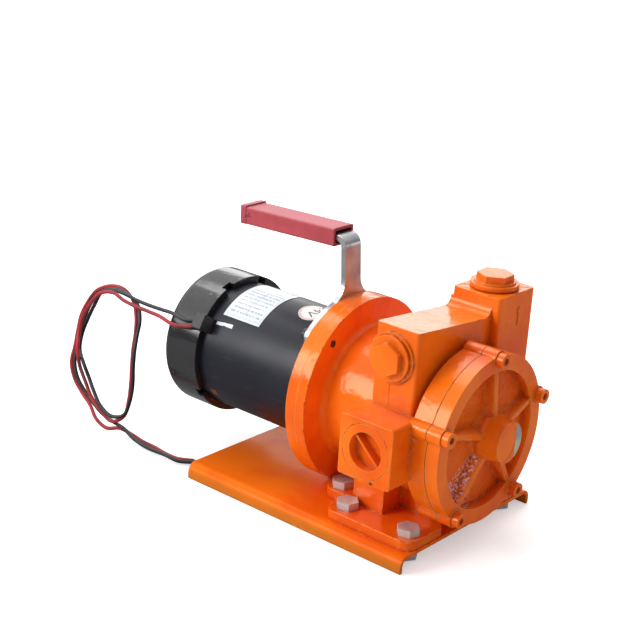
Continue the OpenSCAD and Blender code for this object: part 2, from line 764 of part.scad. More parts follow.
// One cover rib with sloping sides, from the hub towards a cover screw
module cover_rib(to, hub_y, hub_z) {
    reach = norm(to) - cover_screw_r + cover_recess_d / 2 + cut;
    foot = x_cover + cut;
    translate([0, hub_y, hub_z]) rotate([atan2(to[1], to[0]), 0, 0]) polyhedron(
        points = [[foot, 0, -rib_w / 2], [foot, reach, -rib_tip_w / 2], [foot, reach, rib_tip_w / 2],
            [foot, 0, rib_w / 2], [x_cover_front + rib_rise, 0, -rib_ridge_w / 2],
            [x_cover_front - rib_dip, reach, -rib_ridge_w / 2], [x_cover_front - rib_dip, reach, rib_ridge_w / 2],
            [x_cover_front + rib_rise, 0, rib_ridge_w / 2]],
        faces = [[0, 1, 2, 3], [7, 6, 5, 4], [0, 4, 5], [0, 5, 1], [1, 5, 6, 2], [2, 6, 7], [2, 7, 3], [3, 7, 4, 0]]);
}

// Gasket between the casting and the cover
module cover_gasket() {
    color(dark) on_chamber() difference() {
        cover_slab(body_len, x_cover);
        rod_x(chamber_d, body_len - cut, x_cover + cut);
        at_cover_screws() rod_x(cover_screw_d + 2 * fit_gap, body_len - cut, x_cover + cut, small);
    }
}

// Screws with tall round socket heads that hold the cover
module cover_screws() {
    socket_af = cover_screw_d * 0.75;
    seat = x_cover_front + cover_boss_rise;
    color(orange) on_chamber() at_cover_screws() difference() {
        union() {
            rod_x(cover_screw_d, x_rim + 2 * cut, seat + cut, small);
            rod_x(cover_head_d, seat, seat + cover_head_h, small);
        }
        translate([seat + cover_head_h / 2, 0, 0]) rotate([0, 90, 0])
            hex_prism(socket_af, cover_head_h);
    }
}

// Front flange of the motor, with its spigot and bearing boss
module motor_front_flange() {
    color(orange) on_shaft() difference() {
        union() {
            rod_x(flange_d, x_flange, 0);
            ring_x(tube_d - 2 * tube_wall - 2 * fit_gap, tube_d - 4 * tube_wall,
                x_flange - front_boss_l, x_flange + cut);
            rod_x(bearing_d + 2 * bearing_wall, x_flange - front_boss_l, x_flange + cut);
        }
        rod_x(bearing_d + 2 * fit_gap, x_flange - front_boss_l - cut, bearings_x[1] + bearing_w);
        rod_x(shaft_d + 2 * run_gap, x_flange, cut);
        for (upper = [true, false]) at_flange_screws(upper)
            rod_x(flange_screw_d + 2 * fit_gap, x_flange - cut, cut, small);
    }
}

// One socket screw of the flange, with its head behind a given place
module flange_screw(seat, tip) {
    difference() {
        union() {
            rod_x(flange_screw_d, seat - cut, tip, small);
            rod_x(flange_head_d, seat - flange_head_h, seat, small);
        }
        translate([seat - flange_head_h - cut, 0, 0]) rotate([0, 90, 0])
            hex_prism(flange_screw_d * 0.8, flange_head_h / 2 + cut);
    }
}

// Screws that join the motor flange to the casting; the upper two hold the handle
module flange_screws() {
    color(black) on_shaft() {
        at_flange_screws(true) flange_screw(x_flange - strap_t, body_flange_t + run_gap);
        at_flange_screws(false) flange_screw(x_flange, body_flange_t - flange_blind - run_gap);
    }
}

// Moves a piece drawn in the handle's bend, with X out of it, Y along it and Z across it
module on_bend(turn) {
    on_floor() translate([x_flange - strap_bend_r, strap_lean_high, strap_h - strap_bend_r])
        rotate([90, 0, 0]) rotate([0, 0, turn]) children();
}

// Flat outline of the handle's foot and strap, with Y of the pump across and Z up from the shaft
module strap_outline() {
    mid_r = strap_foot_r - strap_foot_w / 2;
    // Centres of the two flares beside the strap, each just touching the curved foot
    flare_reach = strap_foot_r + strap_flare_r - strap_flare_bite;
    flare_y = [for (side = [-1, 1]) strap_lean_low + side * (strap_w / 2 + strap_flare_r)];
    flare_z = [for (y = flare_y) sqrt(pow(flare_reach, 2) - pow(y, 2))];
    edge_y = [for (y = flare_y) y * strap_foot_r / flare_reach];
    top_z = strap_h - strap_bend_r - axis_h;
    wedge = 2 * strap_foot_r;
    difference() {
        union() {
            intersection() {
                difference() {
                    circle(r = strap_foot_r, $fn = fine);
                    circle(r = strap_foot_r - strap_foot_w, $fn = fine);
                }
                polygon([[0, 0], [wedge * sin(flange_screw_turn), wedge * cos(flange_screw_turn)],
                    [0, wedge / cos(flange_screw_turn)],
                    [-wedge * sin(flange_screw_turn), wedge * cos(flange_screw_turn)]]);
            }
            for (side = [-1, 1]) rotate(side * flange_screw_turn) translate([0, mid_r])
                circle(d = strap_foot_w - 2 * fit_gap, $fn = fine);
            difference() {
                polygon([[edge_y[0], mid_r], [edge_y[1], mid_r], [edge_y[1], flare_z[1]],
                    [strap_lean_low + strap_w / 2, flare_z[1]], [strap_lean_high + strap_w / 2, top_z],
                    [strap_lean_high - strap_w / 2, top_z], [strap_lean_low - strap_w / 2, flare_z[0]],
                    [edge_y[0], flare_z[0]]]);
                for (i = [0, 1]) translate([flare_y[i], flare_z[i]])
                    circle(r = strap_flare_r, $fn = fine);
            }
        }
        for (side = [-1, 1]) rotate(side * flange_screw_turn) translate([0, flange_screw_r])
            circle(d = flange_screw_d + 2 * fit_gap, $fn = small);
    }
}

// Handle bracket: a curved foot behind the flange, a strap, a bend and an arm in the grip
module handle_bracket() {
    color(steel) {
        on_shaft() translate([x_flange - strap_t, 0, 0]) rotate([90, 0, 90])
            linear_extrude(height = strap_t) strap_outline();
        on_bend(0) rotate_extrude(angle = 90 + grip_slope, $fn = fine)
            translate([strap_bend_r - strap_t, -strap_w / 2]) square([strap_t, strap_w]);
        on_bend(90 + grip_slope)
            translate([strap_bend_r - strap_t + fit_gap, -cut, -strap_w / 2 + fit_gap])
                cube([strap_t - 2 * fit_gap, grip_len - strap_in_grip + cut, strap_w - 2 * fit_gap]);
    }
}

// Rectangular grip sleeve with an open mouth and a raised far end
module handle_grip() {
    mid = strap_bend_r - strap_t / 2;
    color("#b5303c") on_bend(90 + grip_slope) translate([mid, 0, 0]) rotate([-90, 0, 0]) difference() {
        union() {
            translate([0, 0, grip_start]) linear_extrude(height = grip_len - grip_start)
                soft_rect(-grip_h / 2, -grip_w / 2, grip_h / 2, grip_w / 2, grip_edge_r);
            translate([0, 0, grip_len - grip_end_l]) linear_extrude(height = grip_end_l)
                soft_rect(-grip_h / 2, -grip_w / 2 - grip_end_side, grip_h / 2 + grip_end_rise,
                    grip_w / 2 + grip_end_side, grip_edge_r);
        }
        translate([-grip_h / 2 + grip_wall, -grip_w / 2 + grip_wall, -cut])
            cube([grip_h - 2 * grip_wall, grip_w - 2 * grip_wall, grip_mouth + cut]);
        translate([-strap_t / 2 - fit_gap, -strap_w / 2 - fit_gap, -cut])
            cube([strap_t + 2 * fit_gap, strap_w + 2 * fit_gap, grip_len - strap_in_grip + fit_gap + cut]);
    }
}

// Steel tube of the motor
module motor_tube() {
    color(black) on_shaft() ring_x(tube_d, tube_d - 2 * tube_wall, x_tube_end, x_flange);
}

// Four arc magnets on the inside of the tube
module field_magnets() {
    outer_r = tube_d / 2 - tube_wall - fit_gap;
    color(dark) on_shaft() for (i = [0:3]) intersection() {
        ring_x(2 * outer_r, 2 * (outer_r - magnet_t), x_core - magnet_over, x_core + core_len + magnet_over);
        sector_x(tube_d, 45 + i * 90 - magnet_angle / 2, 45 + i * 90 + magnet_angle / 2,
            x_core - magnet_over - cut, x_core + core_len + magnet_over + cut);
    }
}

// Rear end shield with the rear bearing's boss and two posts for the cap
module rear_end_shield() {
    boss_end = bearings_x[0] + bearing_w + bearing_web;
    color(steel) on_shaft() difference() {
        union() {
            rod_x(tube_d - 2 * tube_wall - 2 * fit_gap, x_tube_end, x_tube_end + shield_t);
            rod_x(bearing_d + 2 * bearing_wall, x_tube_end, boss_end);
            for (side = [-1, 1]) translate([0, side * post_r, 0])
                rod_x(post_d, x_cap_back + cap_wall, x_tube_end + cut, small);
        }
        rod_x(bearing_d + 2 * fit_gap, x_tube_end - cut, bearings_x[0] + bearing_w);
        rod_x(shaft_d + 2 * run_gap, x_tube_end, boss_end + cut);
        for (side = [-1, 1]) translate([0, side * post_r, 0])
            rod_x(cap_screw_d + 2 * fit_gap, x_cap_back, x_cap_back + cap_wall + cap_screw_grip, small);
    }
}

// Black cap over the motor's rear end, with notches in its front edge
module end_cap() {
    color(black) on_shaft() difference() {
        translate([x_cap_back, 0, 0]) rotate([0, 90, 0]) rotate_extrude($fn = fine) intersection() {
            union() {
                translate([-cap_d, 0]) square([cap_d + cap_d / 2 - cap_edge_r, cap_len]);
                translate([-cap_d, cap_edge_r]) square([cap_d + cap_d / 2, cap_len - cap_edge_r]);
                translate([cap_d / 2 - cap_edge_r, cap_edge_r]) circle(r = cap_edge_r, $fn = fine);
            }
            square([cap_d, cap_len]);
        }
        rod_x(cap_d - 2 * cap_wall, x_cap_back + cap_wall, x_cap_front - cap_lip);
        rod_x(tube_d + 2 * fit_gap, x_cap_front - cap_lip - cut, x_cap_front + cut);
        for (turn = notch_turns) rotate([turn, 0, 0])
            translate([x_cap_front - notch_l, 0, -notch_w / 2]) cube([notch_l + cut, cap_d, notch_w]);
        rotate([lead_exit_turn, 0, 0]) translate([x_cap_front - grommet_back - run_gap, 0,
            -grommet_w / 2 - run_gap]) cube([grommet_back + cut, cap_d, grommet_w + 2 * run_gap]);
        for (side = [-1, 1]) translate([0, side * post_r, 0]) {
            rod_x(cap_screw_d + 2 * fit_gap, x_cap_back - cut, x_cap_back + cap_wall + cut, small);
            rod_x(cap_screw_head_d + 2 * run_gap, x_cap_back - cut,
                x_cap_back + cap_screw_head_h, small);
        }
    }
}

// Two sunk screws that hold the end cap
module end_cap_screws() {
    color(dark) on_shaft() for (side = [-1, 1]) translate([0, side * post_r, 0]) difference() {
        union() {
            rod_x(cap_screw_d, x_cap_back + cap_screw_head_h / 2, x_cap_back + cap_screw_grip, small);
            rod_x(cap_screw_head_d, x_cap_back + fit_gap, x_cap_back + cap_screw_head_h, small);
        }
        translate([x_cap_back, -cap_screw_head_d, -cap_screw_d / 8])
            cube([cap_screw_head_h / 2, 2 * cap_screw_head_d, cap_screw_d / 4]);
    }
}

// Two brush holders on the end shield
module brush_holders() {
    boss_r = bearing_d / 2 + bearing_wall + holder_wall;
    half = brush_w / 2 + holder_wall;
    tip = x_commutator + commutator_len / 2 + brush_w / 2 + holder_wall;
    color(dark) on_shaft() for (side = [0, 1]) mirror([0, side, 0]) difference() {
        union() {
            translate([x_tube_end + shield_t, boss_r, -half])
                cube([tip - x_tube_end - shield_t, brush_out + brush_l - boss_r + 2 * holder_wall, 2 * half]);
            translate([tip - brush_w - 2 * holder_wall, brush_out, -half])
                cube([brush_w + 2 * holder_wall, brush_l, 2 * half]);
        }
        translate([tip - brush_w - holder_wall - fit_gap, 0, -brush_w / 2 - fit_gap])
            cube([brush_w + 2 * fit_gap, brush_out + brush_l, brush_w + 2 * fit_gap]);
    }
}

// Two carbon brushes that ride on the commutator
module carbon_brushes() {
    start = commutator_d / 2 + run_gap;
    color(dark) on_shaft() for (side = [0, 1]) mirror([0, side, 0])
        translate([x_commutator + commutator_len / 2 - brush_w / 2, start, -brush_w / 2])
            cube([brush_w, brush_out + brush_l - start - fit_gap, brush_w]);
}

// Laminated armature core with its winding slots
module armature_core() {
    color(steel) on_shaft() difference() {
        ring_x(core_d, shaft_d + 2 * fit_gap, x_core, x_core + core_len);
        for (i = [0:core_slots - 1]) rotate([i * 360 / core_slots, 0, 0])
            translate([x_core - cut, core_d / 2 - core_slot_h, -core_slot_w / 2])
                cube([core_len + 2 * cut, core_d, core_slot_w]);
    }
}

// Copper windings: a bar in each slot and a rounded head at each end
module armature_windings() {
    inner = core_d / 2 - core_slot_h + fit_gap;
    bar_h = winding_d / 2 - inner;
    color("#b8692e") on_shaft() {
        for (i = [0:core_slots - 1]) rotate([i * 360 / core_slots, 0, 0])
            translate([x_core - cut, inner, -core_slot_w / 2 + fit_gap])
                cube([core_len + 2 * cut, bar_h, core_slot_w - 2 * fit_gap]);
        for (end = [x_core - winding_l, x_core + core_len + fit_gap]) translate([end, 0, 0])
            rotate([0, 90, 0]) rotate_extrude($fn = fine)
                soft_rect(shaft_d / 2 + fit_gap, 0, winding_d / 2, winding_l - fit_gap, winding_edge_r);
    }
}

// Copper commutator
module commutator() {
    color("#b8692e") on_shaft() difference() {
        ring_x(commutator_d, shaft_d + 2 * fit_gap, x_commutator, x_core - winding_l - fit_gap);
        for (i = [0:2 * core_slots - 1]) rotate([i * 180 / core_slots, 0, 0])
            translate([x_commutator - cut, commutator_d / 2 - run_gap, -run_gap])
                cube([commutator_len, cut, 2 * run_gap]);
    }
}

// Motor shaft
module motor_shaft() {
    color(steel) on_shaft()
        rod_x(shaft_d, bearings_x[0] + fit_gap, coupling_start + coupling_hub_l - shaft_end_gap);
}

// One half of the jaw coupling
module coupling_half(hub, jaws, first) {
    on_shaft() {
        ring_x(coupling_d, shaft_d + 2 * fit_gap, hub, hub + coupling_hub_l);
        for (i = [0:jaw_n - 1]) intersection() {
            ring_x(coupling_d, jaw_bore_d, jaws, jaws + coupling_gap - spider_play);
            sector_x(coupling_d, first + i * 360 / jaw_n - jaw_angle / 2,
                first + i * 360 / jaw_n + jaw_angle / 2, jaws, jaws + coupling_gap - spider_play);
        }
    }
}

// Coupling half on the motor shaft
module coupling_motor_half() {
    color(steel) coupling_half(coupling_start, coupling_start + coupling_hub_l, 0);
}

// Coupling half on the pump shaft
module coupling_pump_half() {
    start = coupling_start + coupling_hub_l;
    color(steel) coupling_half(start + coupling_gap, start + spider_play, 180 / jaw_n);
}

// Rubber star between the coupling halves
module coupling_spider() {
    start = coupling_start + coupling_hub_l;
    color("#a3262b") on_shaft() difference() {
        ring_x(coupling_d - 2 * run_gap, spider_bore_d,
            start + spider_play, start + coupling_gap - spider_play);
        for (i = [0:2 * jaw_n - 1]) intersection() {
            ring_x(2 * coupling_d, jaw_bore_d - 2 * spider_play, start - cut, start + coupling_gap + cut);
            sector_x(coupling_d, (i - 0.5) * 180 / jaw_n + (180 / jaw_n - jaw_angle - jaw_play) / 2,
                (i + 0.5) * 180 / jaw_n - (180 / jaw_n - jaw_angle - jaw_play) / 2,
                start - cut, start + coupling_gap + cut);
        }
    }
}

// Pump shaft
module pump_shaft() {
    color(steel) on_shaft() rod_x(shaft_d,
        coupling_start + coupling_hub_l + coupling_gap + shaft_end_gap, x_hub - hub_floor - shaft_end_gap);
}

// Slotted rotor of the pump
module pump_rotor() {
    color(steel) on_shaft() difference() {
        ring_x(rotor_d, shaft_d + 2 * fit_gap, x_chamber + run_gap, body_len - run_gap);
        for (i = [0:vane_n - 1]) rotate([i * 360 / vane_n, 0, 0])
            translate([x_chamber, rotor_d / 2 - vane_l - vane_low_gap - vane_top_gap,
                -vane_t / 2 - vane_play])
                cube([chamber_len, rotor_d, vane_t + 2 * vane_play]);
    }
}

// Vanes, drawn back into the rotor as they lie when the pump stands still
module rotor_vanes() {
    color(dark) on_shaft() for (i = [0:vane_n - 1]) rotate([i * 360 / vane_n, 0, 0])
        translate([x_chamber + run_gap, rotor_d / 2 - vane_l - vane_top_gap, -vane_t / 2])
            cube([chamber_len - 2 * run_gap, vane_l, vane_t]);
}

// Lip seal between the pump chamber and the bell
module shaft_seal() {
    color(dark) on_shaft()
        ring_x(seal_d, shaft_d + 2 * run_gap, bell_depth + bearing_w, bell_depth + bearing_w + seal_w);
}

// Bushing in the cover's hub
module hub_bushing() {
    color("#b08d57") on_shaft() ring_x(shaft_d + 2 * bush_wall, shaft_d + 2 * bush_gap,
        x_cover + run_gap, x_hub - hub_floor);
}

// Outer rings of the ball bearings
module bearing_outer_rings() {
    color(steel) on_shaft() for (x = bearings_x)
        ring_x(bearing_d, bearing_d - 2 * bearing_ring_t, x, x + bearing_w);
}

// Inner rings of the ball bearings
module bearing_inner_rings() {
    color(steel) on_shaft() for (x = bearings_x)
        ring_x(shaft_d + 2 * bearing_ring_t, shaft_d + 2 * fit_gap, x, x + bearing_w);
}

// Balls of the bearings
module bearing_balls() {
    ball_r = bearing_d / 2 - bearing_ring_t - fit_gap - ball_d / 2;
    color(steel) on_shaft() for (x = bearings_x, i = [0:bearing_balls_n - 1])
        rotate([(i + 0.5) * 360 / bearing_balls_n, 0, 0]) translate([x + bearing_w / 2, ball_r, 0])
            sphere(d = ball_d, $fn = small);
}

// Poppet of the bypass valve, with its nose in the seat and a stem in the spring
module relief_poppet() {
    face = relief_seat_y - run_gap;
    color(steel) on_floor() translate([relief_x, 0, relief_h]) {
        rod_y(relief_bore_d - 2 * run_gap, face - poppet_l, face);
        rod_y(relief_seat_d - 2 * run_gap, face - cut, face + poppet_nose_l);
        rod_y(poppet_stem_d, face - poppet_l - poppet_stem_l, face - poppet_l + cut);
    }
}

// Points of a round tube of a given radius along a list of places
function tube_frame(p, i) = let (a = p[max(i - 1, 0)], b = p[min(i + 1, len(p) - 1)],
    t = (b - a) / norm(b - a), u0 = cross(t, [0, 0, 1]), u = norm(u0) > 0.05 ? u0 / norm(u0) : [0, 1, 0])
    [u, cross(u, t)];
function tube_points(p, r, n) = [for (i = [0:len(p) - 1]) let (f = tube_frame(p, i))
    for (j = [0:n - 1]) p[i] + r * (cos(j * 360 / n) * f[0] + sin(j * 360 / n) * f[1])];
function tube_faces(m, n) = concat([[for (j = [0:n - 1]) j]],
    [for (i = [0:m - 2], j = [0:n - 1]) let (k = (j + 1) % n, a = i * n) each
        [[a + j, a + n + j, a + k], [a + k, a + n + j, a + n + k]]],
    [[for (j = [n - 1:-1:0]) (m - 1) * n + j]]);
module tube_along(p, r, n) { polyhedron(points = tube_points(p, r, n), faces = tube_faces(len(p), n)); }

// Spring of the bypass valve, one unbroken wire
module relief_spring() {
    face = relief_seat_y - run_gap - poppet_l - run_gap;
    back = -bridge_reach - relief_boss_h + relief_thread_len + run_gap;
    wire = spring_wire_d / 2;
    steps = 8 * spring_turns;
    path = [for (i = [0:steps]) let (a = 360 * i / 8) [spring_mean_d / 2 * cos(a),
        back + wire + (face - back - 2 * wire) * i / steps, spring_mean_d / 2 * sin(a)]];
    echo(least_gap_between_turns = min([for (i = [0:steps - 6], j = [i + 6:min(i + 10, steps)])
        norm(path[i] - path[j])]) - spring_wire_d);
    color(steel) on_floor() translate([relief_x, 0, relief_h]) tube_along(path, wire, 6);
}

// Screw cap: a hexagon, a collar and a threaded stem, pointing along Z from its seat
module screw_cap(collar, collar_h, af, hex_h, stem, stem_l) {
    cylinder(d = collar, h = collar_h, $fn = fine);
    translate([0, 0, collar_h - fit_gap]) hex_prism(af, hex_h + fit_gap);
    translate([0, 0, -stem_l]) cylinder(d = stem, h = stem_l + collar_h / 2, $fn = fine);
}

// Hexagon cap that closes the bypass valve
module relief_cap() {
    color(orange) on_floor() translate([relief_x, -bridge_reach - relief_boss_h - relief_washer_t, relief_h])
        rotate([90, 0, 0]) rotate([0, 0, relief_hex_turn]) screw_cap(relief_collar_d, relief_collar_t, relief_hex_af,
            relief_hex_h, relief_bore_d - 2 * fit_gap, relief_thread_len + relief_washer_t);
}

// Sealing washer under the bypass cap
module relief_washer() {
    color(dark) on_floor() translate([relief_x, -bridge_reach - relief_boss_h, relief_h]) rotate([90, 0, 0])
        difference() {
            cylinder(d = relief_collar_d - 2 * washer_in, h = relief_washer_t, $fn = fine);
            translate([0, 0, -cut])
                cylinder(d = relief_bore_d, h = relief_washer_t + 2 * cut, $fn = fine);
        }
}

// Hexagon cap that closes the outlet
module outlet_cap() {
    color(orange) on_floor() translate([outlet_x, outlet_y, outlet_h + washer_t]) rotate([0, 0, outlet_hex_turn]) {
        screw_cap(outlet_collar_d, collar_t, outlet_hex_af, outlet_hex_h + collar_step_t,
            outlet_bore_d - 2 * fit_gap, outlet_thread_len + washer_t);
        cylinder(d = outlet_collar_d - 2 * collar_step_in, h = collar_t + collar_step_t, $fn = fine);
    }
}

// Sealing washer under the outlet cap
module outlet_washer() {
    color(dark) on_floor() translate([outlet_x, outlet_y, outlet_h]) difference() {
        cylinder(d = outlet_collar_d - washer_in, h = washer_t, $fn = fine);
        translate([0, 0, -cut]) cylinder(d = outlet_bore_d, h = washer_t + 2 * cut, $fn = fine);
    }
}

// Flush plug of the inlet, with a grip bar across its recess
module inlet_plug() {
    color(orange) on_floor() translate([inlet_x, -inlet_reach, axis_h]) {
        difference() {
            union() {
                rod_y(plug_flange_d, 0, plug_flange_t);
                rod_y(inlet_thread_d - 2 * fit_gap, 0, inlet_thread_len - run_gap);
            }
            rod_y(plug_recess_d, -cut, plug_recess_h);
        }
        rotate([0, plug_bar_turn, 0])
            translate([-plug_recess_d / 2 - fit_gap, plug_recess_h - plug_bar_h, -plug_bar_w / 2])
            cube([plug_recess_d + 2 * fit_gap, plug_bar_h + fit_gap, plug_bar_w]);
    }
}

// Hexagon bolts through the feet and the plate
module foot_bolts() {
    color(steel) on_floor() at_foot_bolts() {
        translate([0, 0, plate_h + foot_t]) rotate([0, 0, foot_hex_turn]) hex_prism(foot_hex_af, foot_head_h);
        translate([0, 0, bolt_end_gap])
            cylinder(d = foot_bolt_d, h = plate_h + foot_t - bolt_end_gap + cut, $fn = small);
    }
}

// Washers under the plate
module foot_washers() {
    color(steel) on_floor() at_foot_bolts() translate([0, 0, plate_h - plate_t - foot_washer_t])
        difference() {
            cylinder(d = 2 * foot_bolt_d, h = foot_washer_t, $fn = small);
            translate([0, 0, -cut])
                cylinder(d = foot_bolt_d + 2 * fit_gap, h = foot_washer_t + 2 * cut, $fn = small);
        }
}

// Nuts under the plate
module foot_nuts() {
    color(steel) on_floor() at_foot_bolts()
        translate([0, 0, plate_h - plate_t - foot_washer_t - foot_nut_h]) difference() {
            hex_prism(foot_hex_af, foot_nut_h);
            translate([0, 0, -cut])
                cylinder(d = foot_bolt_d + 2 * fit_gap, h = foot_nut_h + 2 * cut, $fn = small);
        }
}

// Rubber piece in the cap's edge that the leads come out of
module lead_grommet() {
    color(black) on_shaft() rotate([lead_exit_turn, 0, 0])
        translate([x_cap_front - grommet_back, tube_d / 2 + fit_gap, -grommet_w / 2])
            cube([grommet_back + grommet_front, grommet_h, grommet_w]);
}

// Smooth curve through the route's points, sampled at even steps of the list
function curve_at(p, s) = let (i = min(floor(s), len(p) - 2), t = s - i,
    a = p[max(i - 1, 0)], b = p[i], c = p[i + 1], d = p[min(i + 2, len(p) - 1)])
    0.5 * (2 * b + (c - a) * t + (2 * a - 5 * b + 4 * c - d) * t * t + (3 * b - a - 3 * c + d) * t * t * t);
// Evenly spread places along one route
function lead_path(route) = [for (k = [0:lead_rings - 1])
    curve_at(route, k * (len(route) - 1) / (lead_rings - 1))];

// Red lead
module red_lead() {
    color("#c22026") on_floor() tube_along(lead_path(red_route), lead_d / 2, lead_sides);
}

// Black lead
module black_lead() {
    color(black) on_floor() tube_along(lead_path(black_route), lead_d / 2, lead_sides);
}

// Rating plate that follows the tube
module rating_label() {
    color("white") on_shaft() intersection() {
        ring_x(tube_d + 2 * label_gap + 2 * label_t, tube_d + 2 * label_gap,
            rating_x - plate_label_l, rating_x);
        sector_x(tube_d, rating_start_turn, rating_start_turn + plate_label_angle,
            rating_x - plate_label_l - cut, rating_x + cut);
    }
}

// Round label on the tube
module voltage_label() {
    color("white") on_shaft() intersection() {
        ring_x(tube_d + 2 * label_gap + 2 * label_t, tube_d + 2 * label_gap,
            volt_x - volt_label_d, volt_x + volt_label_d);
        rotate([volt_turn, 0, 0]) translate([volt_x, 0, 0]) rod_y(volt_label_d, 0, tube_d, small);
    }
}

// Torn rest of a label on the cover's hub
module hub_label() {
    color("silver") on_shaft() difference() {
        rod_x(hub_d - 4 * label_t, x_hub, x_hub + label_t);
        translate([0, -hub_d / 4, hub_d / 16]) rod_x(hub_d, x_hub - cut, x_hub + cut);
    }
}

base_plate();
pump_body();
cam_ring();
front_cover();
cover_gasket();
cover_screws();
motor_front_flange();
flange_screws();
handle_bracket();
handle_grip();
motor_tube();
field_magnets();
rear_end_shield();
end_cap();
end_cap_screws();
brush_holders();
carbon_brushes();
armature_core();
armature_windings();
commutator();
motor_shaft();
coupling_motor_half();
coupling_spider();
coupling_pump_half();
pump_shaft();
pump_rotor();
rotor_vanes();
shaft_seal();
hub_bushing();
bearing_outer_rings();
bearing_inner_rings();
bearing_balls();
relief_poppet();
relief_spring();
relief_cap();
relief_washer();
outlet_cap();
outlet_washer();
inlet_plug();
foot_bolts();
foot_washers();
foot_nuts();
lead_grommet();
red_lead();
black_lead();
rating_label();
voltage_label();
hub_label();
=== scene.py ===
# %% [markdown]
# # An electric diesel transfer pump
#
# The shape of this pump was drawn in CAD and arrives here as a fixed frame. What is left for
# Blender is how it looks: thick orange enamel over rough castings, gloss black on the motor,
# zinc plate on the bolts and the handle strap, and a red and a black lead in a loose loop.
# Each step below says what the real piece is like, how it could be made, and why one way won.

# %% Load the frame
import json
import math

import bpy
from mathutils import Matrix, Vector


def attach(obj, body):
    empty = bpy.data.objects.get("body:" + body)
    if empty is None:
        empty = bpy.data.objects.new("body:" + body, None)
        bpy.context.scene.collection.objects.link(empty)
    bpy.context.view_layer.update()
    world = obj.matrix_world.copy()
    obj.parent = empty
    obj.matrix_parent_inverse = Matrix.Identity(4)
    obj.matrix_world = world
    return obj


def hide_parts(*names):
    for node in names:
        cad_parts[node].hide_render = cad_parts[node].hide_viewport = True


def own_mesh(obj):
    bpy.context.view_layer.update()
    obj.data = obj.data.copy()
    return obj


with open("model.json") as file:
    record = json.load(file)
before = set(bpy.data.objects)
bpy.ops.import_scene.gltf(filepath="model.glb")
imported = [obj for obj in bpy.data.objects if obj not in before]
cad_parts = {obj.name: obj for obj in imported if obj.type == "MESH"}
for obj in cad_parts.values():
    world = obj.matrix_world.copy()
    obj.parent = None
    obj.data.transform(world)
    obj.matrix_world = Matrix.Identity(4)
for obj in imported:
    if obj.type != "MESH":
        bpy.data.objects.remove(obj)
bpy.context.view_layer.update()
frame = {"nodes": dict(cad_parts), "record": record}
nodes = frame["nodes"]

# %% [markdown]
# ## Where things are
#
# Everything is in metres, in the frame of the drawing: X along the shaft towards the cover,
# Z up, the floor at zero. The shaft lies a little off the middle, and many places are easier
# to say from it, so a few lengths are named once and used all the way down.

# %% Lengths used more than once
MM = 0.001
SHAFT_Y, SHAFT_Z = 4.2 * MM, 96 * MM
JOINT_X = 8.75 * MM
TUBE_R = 57 * MM
COVER_FRONT_X = 150 * MM
LEAD_R = 1.75 * MM
print("shaft axis at", SHAFT_Y, SHAFT_Z, "and the flange joint at", JOINT_X)


def on_tube(x, turn, out=0.0):
    """A point on the motor tube: x along the shaft, turn in degrees from +Y, out from the skin."""
    a, r = math.radians(turn), TUBE_R + out
    return Vector((x, SHAFT_Y + r * math.cos(a), SHAFT_Z + r * math.sin(a)))


# %% [markdown]
# ## Camera
#
# The photograph was taken from above the pump's inlet side with a long lens, and the camera
# was held a few degrees out of level. A camera is a location, a focal length and three
# directions, so the roll goes straight into the rotation matrix instead of a tracking
# constraint, which would always level the horizon.

# %% Set up the camera
def make_camera(place, azimuth, elevation, roll, focal_px, image_px=640):
    a, e, r = (math.radians(v) for v in (azimuth, elevation, roll))
    back = Vector((math.sin(a) * math.cos(e), -math.cos(a) * math.cos(e), math.sin(e)))
    level = Vector((math.cos(a), math.sin(a), 0))
    upright = back.cross(level)
    right = level * math.cos(r) + upright * math.sin(r)
    up = upright * math.cos(r) - level * math.sin(r)
    data = bpy.data.cameras.new("photographer")
    data.sensor_width = 36
    data.lens = focal_px * data.sensor_width / image_px
    data.clip_start, data.clip_end = 0.05, 20
    camera = bpy.data.objects.new("photographer", data)
    turn = Matrix((right, up, back)).transposed()
    camera.matrix_world = Matrix.Translation(place) @ turn.to_4x4()
    bpy.context.scene.collection.objects.link(camera)
    bpy.context.scene.camera = camera
    return camera


camera = make_camera(place=(0.73575, -0.9473, 0.5853), azimuth=39.09, elevation=19.83,
                     roll=3.79, focal_px=1506.1)
print("focal length in mm:", round(camera.data.lens, 2))

# %% [markdown]
# ## Writing shaders as sums
#
# A finish is worked out from numbers that vary over the surface. Wiring every sum by hand
# hides what is meant, so `Value` wraps a socket and lets it be added, subtracted, multiplied
# and divided like a plain number, and `Nodes` makes any other node in one call: its kind,
# its settings, and what goes into its sockets.

# %% A value that varies over a surface
class Value:
    def __init__(self, nodes, socket):
        self.nodes, self.socket = nodes, socket

    def maths(self, operation, a, b=0.0):
        return self.nodes.node("ShaderNodeMath", {"operation": operation}, {0: a, 1: b})

    def __add__(self, other):
        return self.maths("ADD", self, other)

    def __sub__(self, other):
        return self.maths("SUBTRACT", self, other)

    def __rsub__(self, other):
        return self.maths("SUBTRACT", other, self)

    def __mul__(self, other):
        return self.maths("MULTIPLY", self, other)

    def __truediv__(self, other):
        return self.maths("DIVIDE", self, other)

    __radd__ = __add__
    __rmul__ = __mul__

    def root(self):
        return self.maths("SQRT", self)

    def floor(self):
        return self.maths("FLOOR", self)


print("a value adds, subtracts, multiplies and divides")


